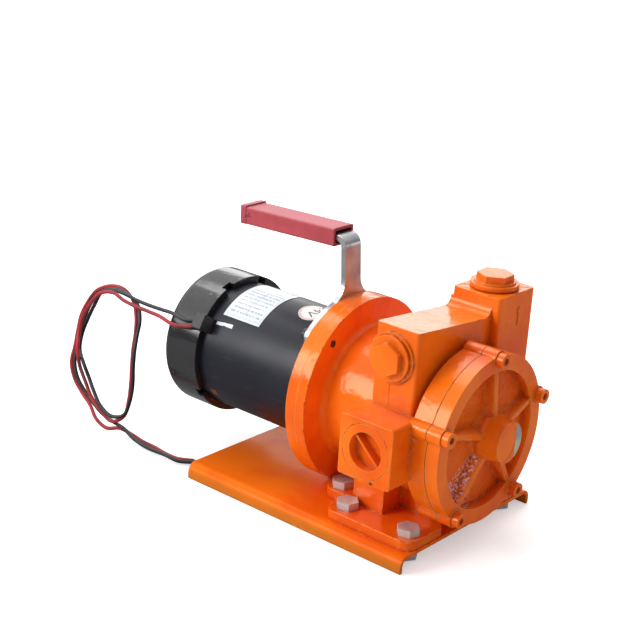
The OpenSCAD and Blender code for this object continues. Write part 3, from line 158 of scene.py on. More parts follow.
# %% Any other node
class Nodes:
    def __init__(self, tree):
        self.tree = tree

    def feed(self, socket, value):
        if isinstance(value, Value):
            self.tree.links.new(value.socket, socket)
        elif isinstance(value, tuple) and socket.type == "RGBA":
            socket.default_value = (*value, 1)
        else:
            socket.default_value = value

    def node(self, kind, settings=None, sockets=None, out=0):
        node = self.tree.nodes.new(kind)
        for key, value in (settings or {}).items():
            setattr(node, key, value)
        for key, value in (sockets or {}).items():
            self.feed(node.inputs[key], value)
        return Value(self, node.outputs[out])

    def between(self, value, low, high):
        """0 below low, 1 above high, and a smooth step from one to the other."""
        return self.node("ShaderNodeMapRange", {"interpolation_type": "SMOOTHSTEP"},
                         {0: value, 1: low, 2: high})

    def window(self, value, low, high, soft):
        """1 from low to high, falling to 0 over a soft edge outside."""
        return self.between(value, low - soft, low) * (1 - self.between(value, high, high + soft))

    def blend(self, factor, a, b):
        """Colour a where factor is 0, colour b where it is 1."""
        return self.node("ShaderNodeMix", {"data_type": "RGBA"}, {0: factor, 6: a, 7: b}, out=2)

    def grey(self, value):
        return self.node("ShaderNodeCombineColor", {}, {i: value for i in range(3)})

    def axis(self, vector, letter):
        return self.node("ShaderNodeSeparateXYZ", {}, {0: vector}, out=letter)


print("nodes are made in one call each")

# %% [markdown]
# ## What every finish shares
#
# Real edges are never sharp. The CAD keeps them crisp, and a Bevel modifier would cut into
# shapes that were measured, so the shading rounds them: a Bevel node only bends the normal
# near an edge, which catches the light as worn or painted edges do. Comparing that bent normal
# with the true one also tells where the edges are, and ambient occlusion tells where the
# corners are, so edges can be painted paler, partly as thinner paint and partly as a painted
# highlight, and corners darker, as painted shade.

# %% A finish
class Finish(Nodes):
    def __init__(self, slot, **looks):
        self.material = bpy.data.materials.new(slot)
        self.material.use_nodes = True
        super().__init__(self.material.node_tree)
        self.shader = self.tree.nodes["Principled BSDF"]
        self.place = self.node("ShaderNodeTexCoord", out="Object")
        self.x, self.y, self.z = (self.axis(self.place, letter) for letter in "XYZ")
        self.look(**looks)

    def look(self, **looks):
        for name, value in looks.items():
            label = name.replace("_", " ").title().replace("Ior", "IOR")
            self.feed(self.shader.inputs[label], value)

    def noise(self, size, detail=2.0, stretch=(1, 1, 1), roughness=0.5):
        """Noise from 0 to 1 whose blotches are about as large as size, in metres."""
        place = self.node("ShaderNodeMapping", {}, {"Vector": self.place, "Scale": stretch})
        return self.node("ShaderNodeTexNoise", {}, {
            "Vector": place, "Scale": 0.5 / size, "Detail": detail, "Roughness": roughness})

    def rounded(self, radius):
        return self.node("ShaderNodeBevel", {"samples": 4}, {"Radius": radius})

    def edges(self, radius):
        """1 on edges that stick out or in, 0 on flat ground."""
        true = self.node("ShaderNodeNewGeometry", out="Normal")
        same = self.node("ShaderNodeVectorMath", {"operation": "DOT_PRODUCT"},
                         {0: self.rounded(radius), 1: true}, out="Value")
        return self.between(1 - same, 0.01, 0.2)

    def corners(self, reach):
        """1 deep in corners, 0 in the open."""
        open_air = self.node("ShaderNodeAmbientOcclusion", {"samples": 6, "only_local": False},
                             {"Distance": reach}, out="AO")
        return 1 - self.between(open_air, 0.35, 0.95)

    def relief(self, radius, *layers):
        """Rounds the edges, then lays bumps on top: pairs of a height (0 to 1) and its depth."""
        normal = self.rounded(radius)
        for height, depth in layers:
            normal = self.node("ShaderNodeBump", {}, {
                "Height": height, "Distance": depth, "Strength": 1.0, "Normal": normal})
        self.look(normal=normal)

    def around_shaft(self):
        """Distance from the shaft axis, and the turn from +Y in degrees."""
        across, up = self.y - SHAFT_Y, self.z - SHAFT_Z
        turn = across.maths("ARCTAN2", up, across) * math.degrees(1)
        return (across * across + up * up).root(), turn

    def full_turn(self, turn):
        """The same turn counted from 0 to 360 degrees, with no jump at the inlet's side."""
        return turn + 360 * (1 - self.between(turn, -0.5, 0.5))

    def distance_from(self, point):
        off = [axis - place for axis, place in zip((self.x, self.y, self.z), point)]
        return (off[0] * off[0] + off[1] * off[1] + off[2] * off[2]).root()


finishes = {}
print("finishes are kept by the record's slot names")

# %% [markdown]
# ## Orange enamel
#
# One thick coat of gloss enamel covers the castings, the plate, the cover and the caps. Seen
# close, it is never one colour: it is deeper where it pooled, and paler and more yellow over
# edges, partly where it ran thin and partly as a painted highlight. The corners are darkened
# towards brown as painted shade, and small painted glints there stand in for runs that catch
# the light. Sand-cast iron shows through as lumps about 8 mm wide, and the paint adds its own
# orange peel of about 2 mm. A picture of paint would stretch over the corners of a casting, so
# all of this comes from noise in space and from the shape itself. Plain white highlights would
# turn the orange pink, so its mirror light is tinted.

# %% Paint for each orange piece
ORANGE, POOLED = (0.93, 0.170, 0.006), (0.82, 0.106, 0.003)
THIN_EDGE_AND_HIGHLIGHT, CORNER_SHADE = (1.0, 0.38, 0.060), (0.34, 0.040, 0.004)
GLINT_COLOUR, BARE_IRON = (1.0, 0.42, 0.20), (0.12, 0.05, 0.03)


def enamel(slot, lumps, peel, chips=0.0, shine=0.5):
    """Lumps and peel are depths, chips is a share of the edges, shine is 0.5 for full gloss."""
    paint = Finish(slot, specular_ior_level=shine, specular_tint=(1.0, 0.66, 0.42),
                   coat_weight=0.16 * shine, coat_roughness=0.06)
    colour = paint.blend(paint.between(paint.noise(30 * MM, 3), 0.38, 0.66), ORANGE, POOLED)
    edge = paint.edges(1.5 * MM)
    # Paler, more yellow edges: partly thin paint, partly a painted highlight.
    colour = paint.blend(edge * 0.75, colour, THIN_EDGE_AND_HIGHLIGHT)
    corner = paint.corners(6 * MM)
    # Painted shade: corners found by ambient occlusion are darkened towards brown.
    colour = paint.blend(corner * (0.2 + 0.5 * paint.noise(5 * MM, 3)), colour, CORNER_SHADE)
    # Painted glints: small bright specks in the corners.
    glint = corner * paint.between(paint.noise(2.4 * MM, 3), 0.58, 0.64)
    colour = paint.blend(glint * 0.5, colour, GLINT_COLOUR)
    if chips:
        chip = edge * paint.between(paint.noise(4 * MM, 4), 0.62 - chips, 0.64 - chips)
        colour = paint.blend(chip, colour, BARE_IRON)
    rough = 0.12 + 0.16 * paint.noise(14 * MM, 3) + 0.2 * corner
    paint.look(base_color=colour, roughness=rough)
    paint.relief(1.3 * MM, (paint.noise(8 * MM, 2), lumps), (paint.noise(2 * MM, 1), peel))
    finishes[slot], paint.colour = paint, colour
    return paint


for slot, lumps, peel in (("flange_paint", 0.16, 0.05), ("screw_paint", 0.10, 0.06),
                          ("cap_paint", 0.10, 0.05), ("washer_paint", 0.10, 0.05),
                          ("plug_paint", 0.12, 0.06)):
    enamel(slot, lumps * MM, peel * MM)
print("plain orange finishes:", sorted(finishes))

# %% [markdown]
# Two marks on the casting are its own: a chip on the lower edge of the inlet block, and a
# hairline crack in the paint below the bypass cap. The plate has had the hardest life. Its
# gloss is gone, its edges are chipped, and its lip is darker and browner towards the floor. A
# brush could paint such marks by hand, but here each is a distance or a window in space, so
# it stays where it was measured in the photograph whatever happens to the mesh.

# %% Paint for the casting and the plate
CHIP_PLACE, CHIP_R = (105.5 * MM, -95.6 * MM, 71.2 * MM), 1.4 * MM
CRACK_X, CRACK_HALF, CRACK_LOW, CRACK_HIGH = 91.6 * MM, 0.3 * MM, 124 * MM, 142 * MM
BRIDGE_FACE_Y, LIP_H = -61 * MM, 6 * MM
casting = enamel("casting_paint", lumps=0.95 * MM, peel=0.14 * MM, chips=0.02)
chip = 1 - casting.between(casting.distance_from(CHIP_PLACE), CHIP_R, CHIP_R + 0.8 * MM)
stray = 1.6 * MM * (casting.noise(4 * MM, 3) - 0.5)
crack = casting.window(casting.x + stray, CRACK_X - CRACK_HALF, CRACK_X + CRACK_HALF, 0.2 * MM) * (
    casting.window(casting.z, CRACK_LOW, CRACK_HIGH, 2 * MM)) * (
    1 - casting.between(casting.y, BRIDGE_FACE_Y, BRIDGE_FACE_Y + 3 * MM))
colour = casting.blend(crack * 0.7, casting.colour, (0.22, 0.03, 0.006))
casting.look(base_color=casting.blend(chip, colour, (0.10, 0.05, 0.02)))
plate = enamel("plate_paint", lumps=0.10 * MM, peel=0.05 * MM, chips=0.06, shine=0.10)
# The lip is blended darker and browner towards the floor.
low = 1 - plate.between(plate.z, LIP_H, LIP_H + 5 * MM)
low_darkening = low * (0.35 + 0.6 * plate.noise(22 * MM, 4))
plate.look(base_color=plate.blend(low_darkening, plate.colour, (0.46, 0.17, 0.022)))
print("casting has a chip and a crack, the plate a darkened lip")

# %% [markdown]
# The cover is a rougher casting: the floor of its recess has a coarse, grainy skin, while its
# rim, ribs and hub are as smooth as the rest, and the floor is painted darker as painted shade.
# In one field beside the lowest rib the skin is so coarse that it breaks the light into sparks
# and pits, painted there as pink highlights and dark painted shade. Modelled grains would need
# millions of points, and a bump that bends only the light shows the same. The floor is told by
# its distance from the shaft and by how far it lies behind the rim, the field by its turn too.

# %% Paint for the cover, with its grainy recess
RECESS_R, FIELD_FROM_TURN, FIELD_TO_TURN = 58 * MM, 216, 250
cover = enamel("cover_paint", lumps=0.30 * MM, peel=0.06 * MM)
from_shaft, turn = cover.around_shaft()
recess = (1 - cover.between(from_shaft, RECESS_R, RECESS_R + 3 * MM)) * (
    1 - cover.between(cover.x, COVER_FRONT_X - 4 * MM, COVER_FRONT_X + 1 * MM))
grain = cover.noise(2.4 * MM, 3, roughness=0.7) * recess
cover.relief(1.3 * MM, (cover.noise(8 * MM, 2), 0.3 * MM), (cover.noise(2 * MM, 1), 0.06 * MM),
             (grain, 1.8 * MM))
cover.look(roughness=0.24 - 0.16 * recess)
field = cover.window(cover.full_turn(turn), FIELD_FROM_TURN, FIELD_TO_TURN, 5) * (
    cover.window(from_shaft, 23 * MM, RECESS_R + 2 * MM, 3 * MM)) * (
    1 - cover.between(cover.x, COVER_FRONT_X - 2.5 * MM, COVER_FRONT_X - 1 * MM))
# Painted highlights as pink sparks, and painted shade as dark pits, in one field.
painted_spark = cover.between(cover.noise(1.2 * MM, 3), 0.49, 0.56)
pit_shade = 1 - cover.between(cover.noise(1.1 * MM, 2), 0.42, 0.47)
# Painted shade: the recess floor is darkened in soft clouds.
colour = cover.blend(recess * 0.5 * cover.noise(20 * MM, 2), cover.colour, (0.55, 0.060, 0.008))
colour = cover.blend(field * painted_spark, colour, (0.92, 0.52, 0.54))
cover.look(base_color=cover.blend(field * pit_shade * 0.6, colour, (0.15, 0.03, 0.012)))
print("cover recess is grainy, with sparks in one field")

# %% [markdown]
# ## Black motor
#
# The tube is a welded steel shell in gloss black enamel, wiped but not clean: it has fine
# scratches along the shaft and a faint veil of dust. Somebody marked it beside the leads with
# one stroke of white paint, and a drop of varnish dried brown low on the tube's cap end. Both
# could be thin pieces laid on the tube, but their outlines would be too clean. Windows in the
# tube's own colour, with their edges pushed about by noise, look brushed on.

# %% Tube with its paint stroke and varnish spot
BLACK, DUST, STROKE_WHITE = (0.010, 0.011, 0.018), (0.020, 0.022, 0.035), (0.80, 0.82, 0.88)
STROKE_X, STROKE_TURN = (-116 * MM, -98 * MM), (142.5, 145.2)
SPOT_X, SPOT_TURN, TURN_PER_WOBBLE = (-118 * MM, -111 * MM), (211, 217), 900
tube = finishes["tube_black"] = Finish("tube_black", specular_ior_level=0.36)
turn = tube.around_shaft()[1]
dust = tube.between(tube.noise(25 * MM, 4), 0.4, 0.8) * 0.35
scratch = tube.between(tube.noise(1.2 * MM, 2, stretch=(0.06, 1, 1)), 0.62, 0.72)
colour = tube.blend(dust, BLACK, DUST)
colour = tube.blend(scratch * 0.12, colour, (0.10, 0.10, 0.105))
wobble = 3 * MM * (tube.noise(5 * MM, 3) - 0.5)
slant = (tube.x - STROKE_X[0]) * 60
stroke = tube.window(tube.x + wobble, *STROKE_X, 0.6 * MM) * tube.window(
    turn + wobble * TURN_PER_WOBBLE + slant, *STROKE_TURN, 0.5)
colour = tube.blend(stroke, colour, STROKE_WHITE)
spot = tube.window(tube.x + wobble, *SPOT_X, 1 * MM) * tube.window(
    tube.full_turn(turn) + wobble * TURN_PER_WOBBLE, *SPOT_TURN, 2)
colour = tube.blend(spot * 0.9, colour, (0.16, 0.05, 0.012))
tube.look(base_color=colour,
          roughness=0.30 + 0.2 * dust + 0.3 * stroke + 0.15 * tube.noise(30 * MM, 2))
tube.relief(0.8 * MM, (tube.noise(10 * MM, 2), 0.06 * MM), (scratch, 0.02 * MM),
            (stroke, 0.15 * MM))
print("tube is black with a white stroke")

# %% [markdown]
# The end cap is moulded in a glossy black, smoother than the tube, with long soft flow marks
# along it that bend what it mirrors, and a few small scuffs. Waves in the mesh would spoil its
# clean outline, so the flow marks are a bump made from noise stretched along the shaft.

# %% Moulded cap
cap = finishes["cap_black"] = Finish("cap_black", specular_ior_level=0.8)
patches = cap.between(cap.noise(30 * MM, 2), 0.45, 0.6)
scuff = cap.between(cap.noise(3 * MM, 5), 0.60, 0.72) * patches
flow = cap.noise(16 * MM, 3, stretch=(0.35, 1, 1))
colour = cap.blend(flow, (0.009, 0.009, 0.010), (0.020, 0.020, 0.023))
cap.look(base_color=cap.blend(scuff * 0.5, colour, (0.09, 0.09, 0.095)),
         roughness=0.09 + 0.14 * flow + 0.2 * scuff)
cap.relief(1.2 * MM, (flow, 1.6 * MM), (scuff, 0.03 * MM))
print("cap is moulded black")

# %% [markdown]
# ## Bright metal, rubber and what lies inside
#
# Zinc plate is a crystalline grey in soft clouds, drawn into fine lines along the strap. On
# the bolts it has gone dull and whitish, as old plating does, so they count as metal only in
# part. Inside pieces are seen only when the pump is taken apart, but each still gets the
# finish of its trade. Every metal could be a material built by hand. One function with two
# greys, a roughness and a direction of grain makes them all and keeps them of one family.

# %% Metals
def metal(slot, pale, dark, roughness, grain=(1, 1, 1), grain_size=1.5 * MM, bump=0.02 * MM):
    steel = finishes[slot] = Finish(slot, metallic=1.0)
    bloom = steel.between(steel.noise(9 * MM, 3), 0.35, 0.7)
    lines = steel.noise(grain_size, 3, stretch=grain)
    edge = steel.edges(1 * MM)
    colour = steel.blend(bloom, pale, dark)
    # Edges are blended to the pale grey, a painted highlight along the rims.
    steel.look(base_color=steel.blend(edge * 0.4, colour, pale),
               roughness=roughness + 0.18 * lines + 0.1 * bloom - 0.08 * edge)
    steel.relief(0.8 * MM, (lines, bump))
    return steel


metal("bracket_zinc", (0.68, 0.69, 0.71), (0.48, 0.48, 0.50), 0.22, grain=(1, 1, 0.05))
bolts = metal("bolt_zinc", (0.72, 0.70, 0.69), (0.44, 0.41, 0.40), 0.26,
              grain_size=4 * MM, bump=0.25 * MM)
bolts.look(metallic=0.4)
metal("zinc_steel", (0.66, 0.66, 0.66), (0.50, 0.50, 0.50), 0.28)
metal("cast_iron", (0.36, 0.35, 0.34), (0.26, 0.25, 0.25), 0.42, bump=0.1 * MM)
metal("rotor_iron", (0.36, 0.36, 0.37), (0.26, 0.26, 0.27), 0.34, grain=(0.1, 1, 1))
metal("core_steel", (0.42, 0.42, 0.44), (0.32, 0.32, 0.34), 0.34, grain=(8, 1, 1))
metal("machined_steel", (0.66, 0.66, 0.67), (0.56, 0.56, 0.57), 0.20, grain=(4, 1, 1))
metal("spring_steel", (0.46, 0.46, 0.48), (0.34, 0.34, 0.36), 0.26)
metal("shield_alloy", (0.64, 0.65, 0.66), (0.52, 0.53, 0.54), 0.38, bump=0.08 * MM)
metal("coupling_alloy", (0.64, 0.65, 0.66), (0.52, 0.53, 0.54), 0.36, bump=0.08 * MM)
metal("copper", (0.78, 0.40, 0.24), (0.60, 0.26, 0.14), 0.26, grain_size=0.8 * MM)
metal("bronze", (0.68, 0.52, 0.30), (0.52, 0.38, 0.20), 0.36, bump=0.05 * MM)
print("metals done:", len(finishes), "finishes so far")

# %% [markdown]
# Rubber, carbon, magnets, moulded plastic and the skin of the leads have no mirror of their
# own. One flat colour each would look like plastic toys, so each blends two close shades in
# soft clouds under a fine grain, and its edges are a little paler where they rub.

# %% Moulded, pressed and rubbery pieces
def moulded(slot, pale, dark, roughness, bump=0.05 * MM):
    piece = finishes[slot] = Finish(slot)
    cloud = piece.between(piece.noise(14 * MM, 4), 0.35, 0.7)
    grain = piece.noise(2 * MM, 3)
    edge = piece.edges(1 * MM)
    colour = piece.blend(cloud, pale, dark)
    piece.look(base_color=piece.blend(edge * 0.35, colour, pale),
               roughness=roughness + 0.15 * grain)
    piece.relief(1 * MM, (grain, bump))
    return piece, colour


moulded("gasket", (0.06, 0.045, 0.04), (0.03, 0.025, 0.02), 0.6)
moulded("magnet", (0.19, 0.19, 0.20), (0.13, 0.13, 0.14), 0.6)
moulded("brush_plastic", (0.13, 0.10, 0.08), (0.09, 0.07, 0.06), 0.45)
moulded("carbon", (0.05, 0.05, 0.05), (0.03, 0.03, 0.03), 0.65)
moulded("spider_rubber", (0.52, 0.07, 0.06), (0.40, 0.04, 0.04), 0.5)
moulded("vane_composite", (0.10, 0.09, 0.085), (0.06, 0.055, 0.05), 0.5)
moulded("grommet_rubber", (0.030, 0.030, 0.032), (0.018, 0.018, 0.020), 0.42)
moulded("black_screw", (0.035, 0.033, 0.032), (0.018, 0.018, 0.018), 0.30)
moulded("lead_red", (0.44, 0.010, 0.018), (0.16, 0.008, 0.014), 0.46)
moulded("lead_black", (0.008, 0.007, 0.009), (0.026, 0.022, 0.028), 0.36)
print("moulded pieces done:", len(finishes), "finishes so far")

# %% [markdown]
# ## Handle grip
#
# The grip is a soft red sleeve. Its top is painted paler and pinker, a painted highlight where
# the light falls from above, and its flanks keep the deeper red. The closed end has a few dark
# moulding scars. The highlight could be painted on each face, but how far the surface looks up
# already tells where it goes.

# %% Red sleeve, painted paler on top
grip, colour = moulded("grip_red", (0.46, 0.050, 0.066), (0.38, 0.036, 0.050), 0.48)
upward = grip.axis(grip.node("ShaderNodeNewGeometry", out="Normal"), "Z")
# Painted highlight: faces that look up are blended paler and pinker.
colour = grip.blend(grip.between(upward, 0.3, 0.95) * 0.45, colour, (0.60, 0.21, 0.24))
at_closed_end = grip.window(grip.x, -117 * MM, -106 * MM, 2 * MM)
scar = grip.between(grip.noise(2.4 * MM, 2), 0.60, 0.66) * at_closed_end
colour = grip.blend(scar * 0.8, colour, (0.16, 0.02, 0.03))
grip.look(base_color=grip.blend(grip.edges(1.2 * MM) * 0.4, colour, (0.70, 0.24, 0.26)))
grip.relief(1.5 * MM, (grip.noise(2 * MM, 3), 0.08 * MM), (scar, -0.4 * MM))
print("grip is lightened on top")

# %% [markdown]
# ## Labels
#
# Three labels are left. The rating plate is a pale, slightly bluish film with a thin border
# and rows of print; the rows here are only dashes of uneven length, since nothing on the part
# should name anything. The round label is plain white with a broad reddish ring at its edge.
# On the hub a foil label was torn off: its right part is left, silver above and greenish
# below. A picture for each would be the usual way, but it goes soft when the camera comes
# close, so all three are worked out from the place on the tube or the hub.
#
# The rating plate first turns that place into two shares, along the label and around it. Then
# the border is one rectangle less another, and the print is noise cut into dashes by its rows.

# %% Rating plate with rows of print
ROWS, INK = 13, (0.14, 0.18, 0.28)
FROM_X, TO_X, FROM_TURN, TO_TURN = -113.65 * MM, -71.65 * MM, 74, 135
rating = finishes["label_paper"] = Finish("label_paper", roughness=0.32, coat_weight=0.25,
                                          coat_roughness=0.15)
along = (rating.x - FROM_X) / (TO_X - FROM_X)
around = (rating.around_shaft()[1] - FROM_TURN) / (TO_TURN - FROM_TURN)


def on_label(left, right, low, high, soft=0.004):
    """1 inside a rectangle of the label, in shares of its length and its height."""
    return rating.window(along, left, right, soft) * rating.window(around, low, high, soft)


row = around * ROWS
in_row = rating.window(row - row.floor(), 0.36, 0.66, 0.06)
spread = rating.node("ShaderNodeCombineXYZ", {}, {0: along * 26, 1: row.floor() * 7.3, 2: 0.0})
dashes = rating.node("ShaderNodeTexNoise", {}, {"Vector": spread, "Scale": 1.0, "Detail": 1.0})
ink = in_row * rating.between(dashes, 0.42, 0.48) * on_label(0.10, 0.90, 0.10, 0.90, 0.01)
border = on_label(0.045, 0.955, 0.04, 0.96) * (1 - on_label(0.065, 0.935, 0.055, 0.945))
ink = ink.maths("MAXIMUM", ink, border * 0.4)
ink = ink.maths("MAXIMUM", ink, on_label(0.50, 0.51, 0.3, 0.9))
film = rating.blend(rating.noise(12 * MM, 3), (0.62, 0.68, 0.73), (0.76, 0.81, 0.84))
rating.look(base_color=rating.blend(ink * 0.60, film, INK),
            roughness=0.26 + 0.15 * rating.noise(9 * MM, 2))
rating.relief(0.3 * MM, (rating.noise(6 * MM, 2), 0.05 * MM))
print("rating plate has", ROWS, "rows of dashes")

# %% [markdown]
# The round label's ring is a window on the distance from its middle. That distance is taken
# along the skin of the tube, so that the ring stays a circle on a label that is bent round it.

# %% Round voltage label
VOLT_X, VOLT_TURN, VOLT_R = -37.45 * MM, 98.7, 13.5 * MM
RING_FROM, RING_TO = VOLT_R - 2.2 * MM, VOLT_R - 0.5 * MM
round_label = finishes["label_round"] = Finish("label_round", roughness=0.34, coat_weight=0.2,
                                               coat_roughness=0.15)
aside = (round_label.around_shaft()[1] - VOLT_TURN) * math.radians(1) * TUBE_R
from_middle = ((round_label.x - VOLT_X) * (round_label.x - VOLT_X) + aside * aside).root()
rim = round_label.window(from_middle, RING_FROM, RING_TO, 0.4 * MM)
paper = round_label.blend(round_label.noise(7 * MM, 3), (0.90, 0.91, 0.88),
                          (0.80, 0.80, 0.78))
round_label.look(base_color=round_label.blend(rim * 0.6, paper, (0.62, 0.22, 0.19)))
round_label.relief(0.3 * MM, (round_label.noise(5 * MM, 2), 0.05 * MM))
print("round label has a ring")

# %% [markdown]
# The torn edge could be cut into the mesh, but foil is too thin for its edge to be seen. A
# straight line across the hub, pushed about by noise, splits bare paint from foil, and a
# second one splits silver from green.

# %% Torn foil on the hub
foil = finishes["hub_foil"] = Finish("hub_foil")
TEAR_Y, TEAR_DEPTH = 8.6 * MM, 7 * MM
tear = TEAR_DEPTH * (foil.noise(6 * MM, 4) - 0.5)
kept = foil.between(foil.y - SHAFT_Y + tear, TEAR_Y, TEAR_Y + 0.6 * MM)
upper = foil.between(foil.z - SHAFT_Z + tear, -1 * MM, 1.5 * MM)
silver = foil.blend(foil.noise(3 * MM, 4), (0.30, 0.28, 0.26), (0.68, 0.66, 0.63))
green = foil.blend(foil.noise(2.5 * MM, 4), (0.34, 0.38, 0.22), (0.62, 0.62, 0.42))
colour = foil.blend(kept, (0.86, 0.15, 0.010), foil.blend(upper, green, silver))
foil.look(base_color=colour, metallic=kept * upper * 0.5,
          roughness=0.3 + 0.2 * foil.noise(3 * MM, 2))
foil.relief(0.3 * MM, (kept, 0.15 * MM), (foil.noise(2 * MM, 3), 0.10 * MM))
print("hub label is torn")

# %% [markdown]
# ## Putting the finishes on
#
# The record says which slot each piece of the CAD takes its finish from, so the finishes are
# kept under the same names and one loop dresses every piece whose slot has a finish here;
# the others are left as they came.

# %% Dress the CAD pieces
for part in frame["record"]["subparts"]:
    piece, finish = nodes[part["node"]], finishes.get(part["material_slot"])
    if finish is None:
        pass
    elif piece.material_slots:
        piece.material_slots[0].material = finish.material
    else:
        piece.data.materials.append(finish.material)

# %% [markdown]
# ## The bypass spring
#
# When the bypass valve lifts, its spring is pressed together between the valve and the screw
# cap. Here the stiff solid is hidden and a copy of the winding, with a mesh of its own, stands
# in for it, fixed to the pump's body; it is not pressed.

# %% A copy of the spring
stiff = nodes["relief_spring"]
spring = bpy.data.objects.new("bypass_spring", stiff.data.copy())
bpy.context.scene.collection.objects.link(spring)
spring.matrix_world = stiff.matrix_world
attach(spring, "pump")
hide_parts("relief_spring")
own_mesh(spring)
print("bypass spring:", len(spring.data.vertices), "points, pressed with the valve")

# %% [markdown]
# ## The pair of leads
#
# A red and a black lead leave the motor's end cap side by side, cross over each other, hang
# in one and a half loops and end in bare copper behind the base plate. A physics simulation
# of a stiff wire rarely lands where the real one lay, so each follows its own listed route,
# with the same points as the CAD model. A Catmull-Rom curve passes through every point, which
# makes it easy to pin the loops to the photograph.

# %% Routes of the two leads, in millimetres from the flange joint and the shaft
RED_ROUTE = [(-138.7, -61, 126), (-146.5, -62, 123.5), (-161.5, -63.5, 121.5), (-177, -64, 124.5),
    (-192.5, -64.5, 125.5), (-208.5, -65, 126), (-224, -65, 127.5), (-239, -64, 130.5),
    (-253.5, -67, 126.5), (-262.5, -71, 114.5), (-268.5, -74.5, 100.5), (-270, -77.5, 85),
    (-262.5, -85.5, 73), (-266.5, -79, 54), (-255.5, -81.5, 42), (-246, -82.5, 30),
    (-233.5, -82.5, 21), (-219.5, -81.5, 14), (-209.5, -75, 20.5), (-209, -70, 35.5),
    (-210.5, -66.5, 50.5), (-213.5, -63, 65.5), (-217, -58.5, 80), (-220.5, -52.5, 94),
    (-226.5, -46.5, 107), (-235, -42.5, 119), (-248.5, -42.5, 127), (-263.5, -45, 126.5),
    (-277, -49, 119.5), (-285.5, -52.5, 107), (-291, -56, 93), (-292.5, -59, 77.5),
    (-292, -63, 62.5), (-290.5, -68.5, 48), (-283, -71, 34.5), (-271.5, -72, 24),
    (-258.5, -73, 15.5), (-246, -76.5, 6.5), (-230.5, -77.5, 2.5), (-216.5, -73.5, 5.5),
    (-201.5, -72.5, 4), (-185.5, -73.5, 2.5), (-169.5, -74, 2.5), (-154, -76, 2.5),
    (-138.5, -75.5, 2.5), (-125.5, -67.5, 2.5)]
BLACK_ROUTE = [(-138.7, -56.5, 130), (-153, -57.5, 127), (-168, -58, 129), (-183, -59, 129),
    (-198, -59.5, 129), (-213, -59.5, 129.5), (-228, -58.5, 130.5), (-243, -59, 130.5),
    (-256.5, -62, 125.5), (-263, -65, 112), (-268, -68, 98.5), (-270.5, -72.5, 84.5),
    (-274.5, -72, 67.5), (-259.5, -81, 60.5), (-250.5, -82, 48.5), (-240.5, -84.5, 38),
    (-229, -87, 28.5), (-215.5, -86, 22), (-204, -80.5, 25), (-201.5, -75.5, 38.5),
    (-202, -72, 53.5), (-205, -69, 67.5), (-208, -65, 82), (-211.5, -59, 95), (-215.5, -52, 108),
    (-224, -47.5, 119.5), (-237.5, -48, 126), (-252, -50.5, 127.5), (-265.5, -53.5, 122.5),
    (-274.5, -57.5, 111), (-279.5, -61, 97), (-281.5, -64, 82.5), (-281.5, -68.5, 68.5),
    (-280, -73.5, 54), (-273, -76.5, 41), (-262.5, -77, 30.5), (-250, -77.5, 22.5),
    (-236.5, -78, 15.5), (-222.5, -77, 11.5), (-208, -76.5, 9), (-193.5, -78, 4.5),
    (-178.5, -79, 2.5), (-163.5, -80, 3), (-148, -81, 4.5), (-133.5, -79, 3), (-121.5, -70.5, 3.5)]


def along_route(points, s):
    """The smooth curve through points at the parameter s, which counts points."""
    i = min(int(s), len(points) - 2)
    t = s - i
    near = (min(max(k, 0), len(points) - 1) for k in (i - 1, i, i + 1, i + 2))
    a, b, c, d = (Vector(points[k]) for k in near)
    return 0.5 * (2 * b + (c - a) * t + (2 * a - 5 * b + 4 * c - d) * t * t
                  + (3 * b - a - 3 * c + d) * t * t * t)


def lead_points(route, count=300):
    places = (along_route(route, k * (len(route) - 1) / (count - 1)) for k in range(count))
    return [Vector((p.x * MM + JOINT_X, p.y * MM + SHAFT_Y, p.z * MM)) for p in places]


def length_of(points):
    return sum((b - a).length for a, b in zip(points, points[1:]))


print("lead lengths in metres:",
      [round(length_of(lead_points(route)), 3) for route in (RED_ROUTE, BLACK_ROUTE)])

# %% [markdown]
# A lead is a line with a thickness. A circle swept along it by hand pinches in tight bends,
# while a curve with a round bevel stays even, so each lead is such a curve. Its insulation
# stops short, and a few strands of bare copper come out, wound round one another and splayed
# a little. Each strand is one more thin curve.

# %% Make each lead a round tube, with a twist of bare copper at its end
def tube_curve(name, points, radii, finish):
    data = bpy.data.curves.new(name, "CURVE")
    data.dimensions = "3D"
    data.bevel_depth, data.bevel_resolution, data.use_fill_caps = 1.0, 6, True
    spline = data.splines.new("POLY")
    spline.points.add(len(points) - 1)
    for point, place, r in zip(spline.points, points, radii):
        point.co, point.radius = (*place, 1), r
    data.materials.append(finish.material)
    curve = bpy.data.objects.new(name, data)
    bpy.context.scene.collection.objects.link(curve)
    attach(curve, "pump")
    return curve


STRANDS, STRAND_POINTS, STRAND_R, TIP_LENGTH = 5, 14, 0.42 * MM, 5 * MM


def copper_tip(name, end, onward):
    """Strands wound round one another, from just inside the lead's end, and splayed a little."""
    side = onward.cross(Vector((0, 0, 1))).normalized()
    up = side.cross(onward).normalized()
    made = []
    for strand in range(STRANDS):
        places = []
        for k in range(STRAND_POINTS):
            t = k / (STRAND_POINTS - 1)
            a = 2 * math.pi * (strand / STRANDS + 2.5 * t / 4)
            spread = (0.62 + 0.5 * t * t) * MM
            middle = end + onward * (TIP_LENGTH * t - 0.4 * MM)
            places.append(middle + (side * math.cos(a) + up * math.sin(a)) * spread)
        made.append(tube_curve(f"{name}_{strand + 1}", places, [STRAND_R] * STRAND_POINTS,
                               finishes["copper"]))
    return made


def lay_lead(name, route, node, slot):
    points = lead_points(route)
    lead = tube_curve(name, points, [LEAD_R] * len(points), finishes[slot])
    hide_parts(node)
    tips = copper_tip(name + "_strand", points[-1], (points[-1] - points[-4]).normalized())
    return lead


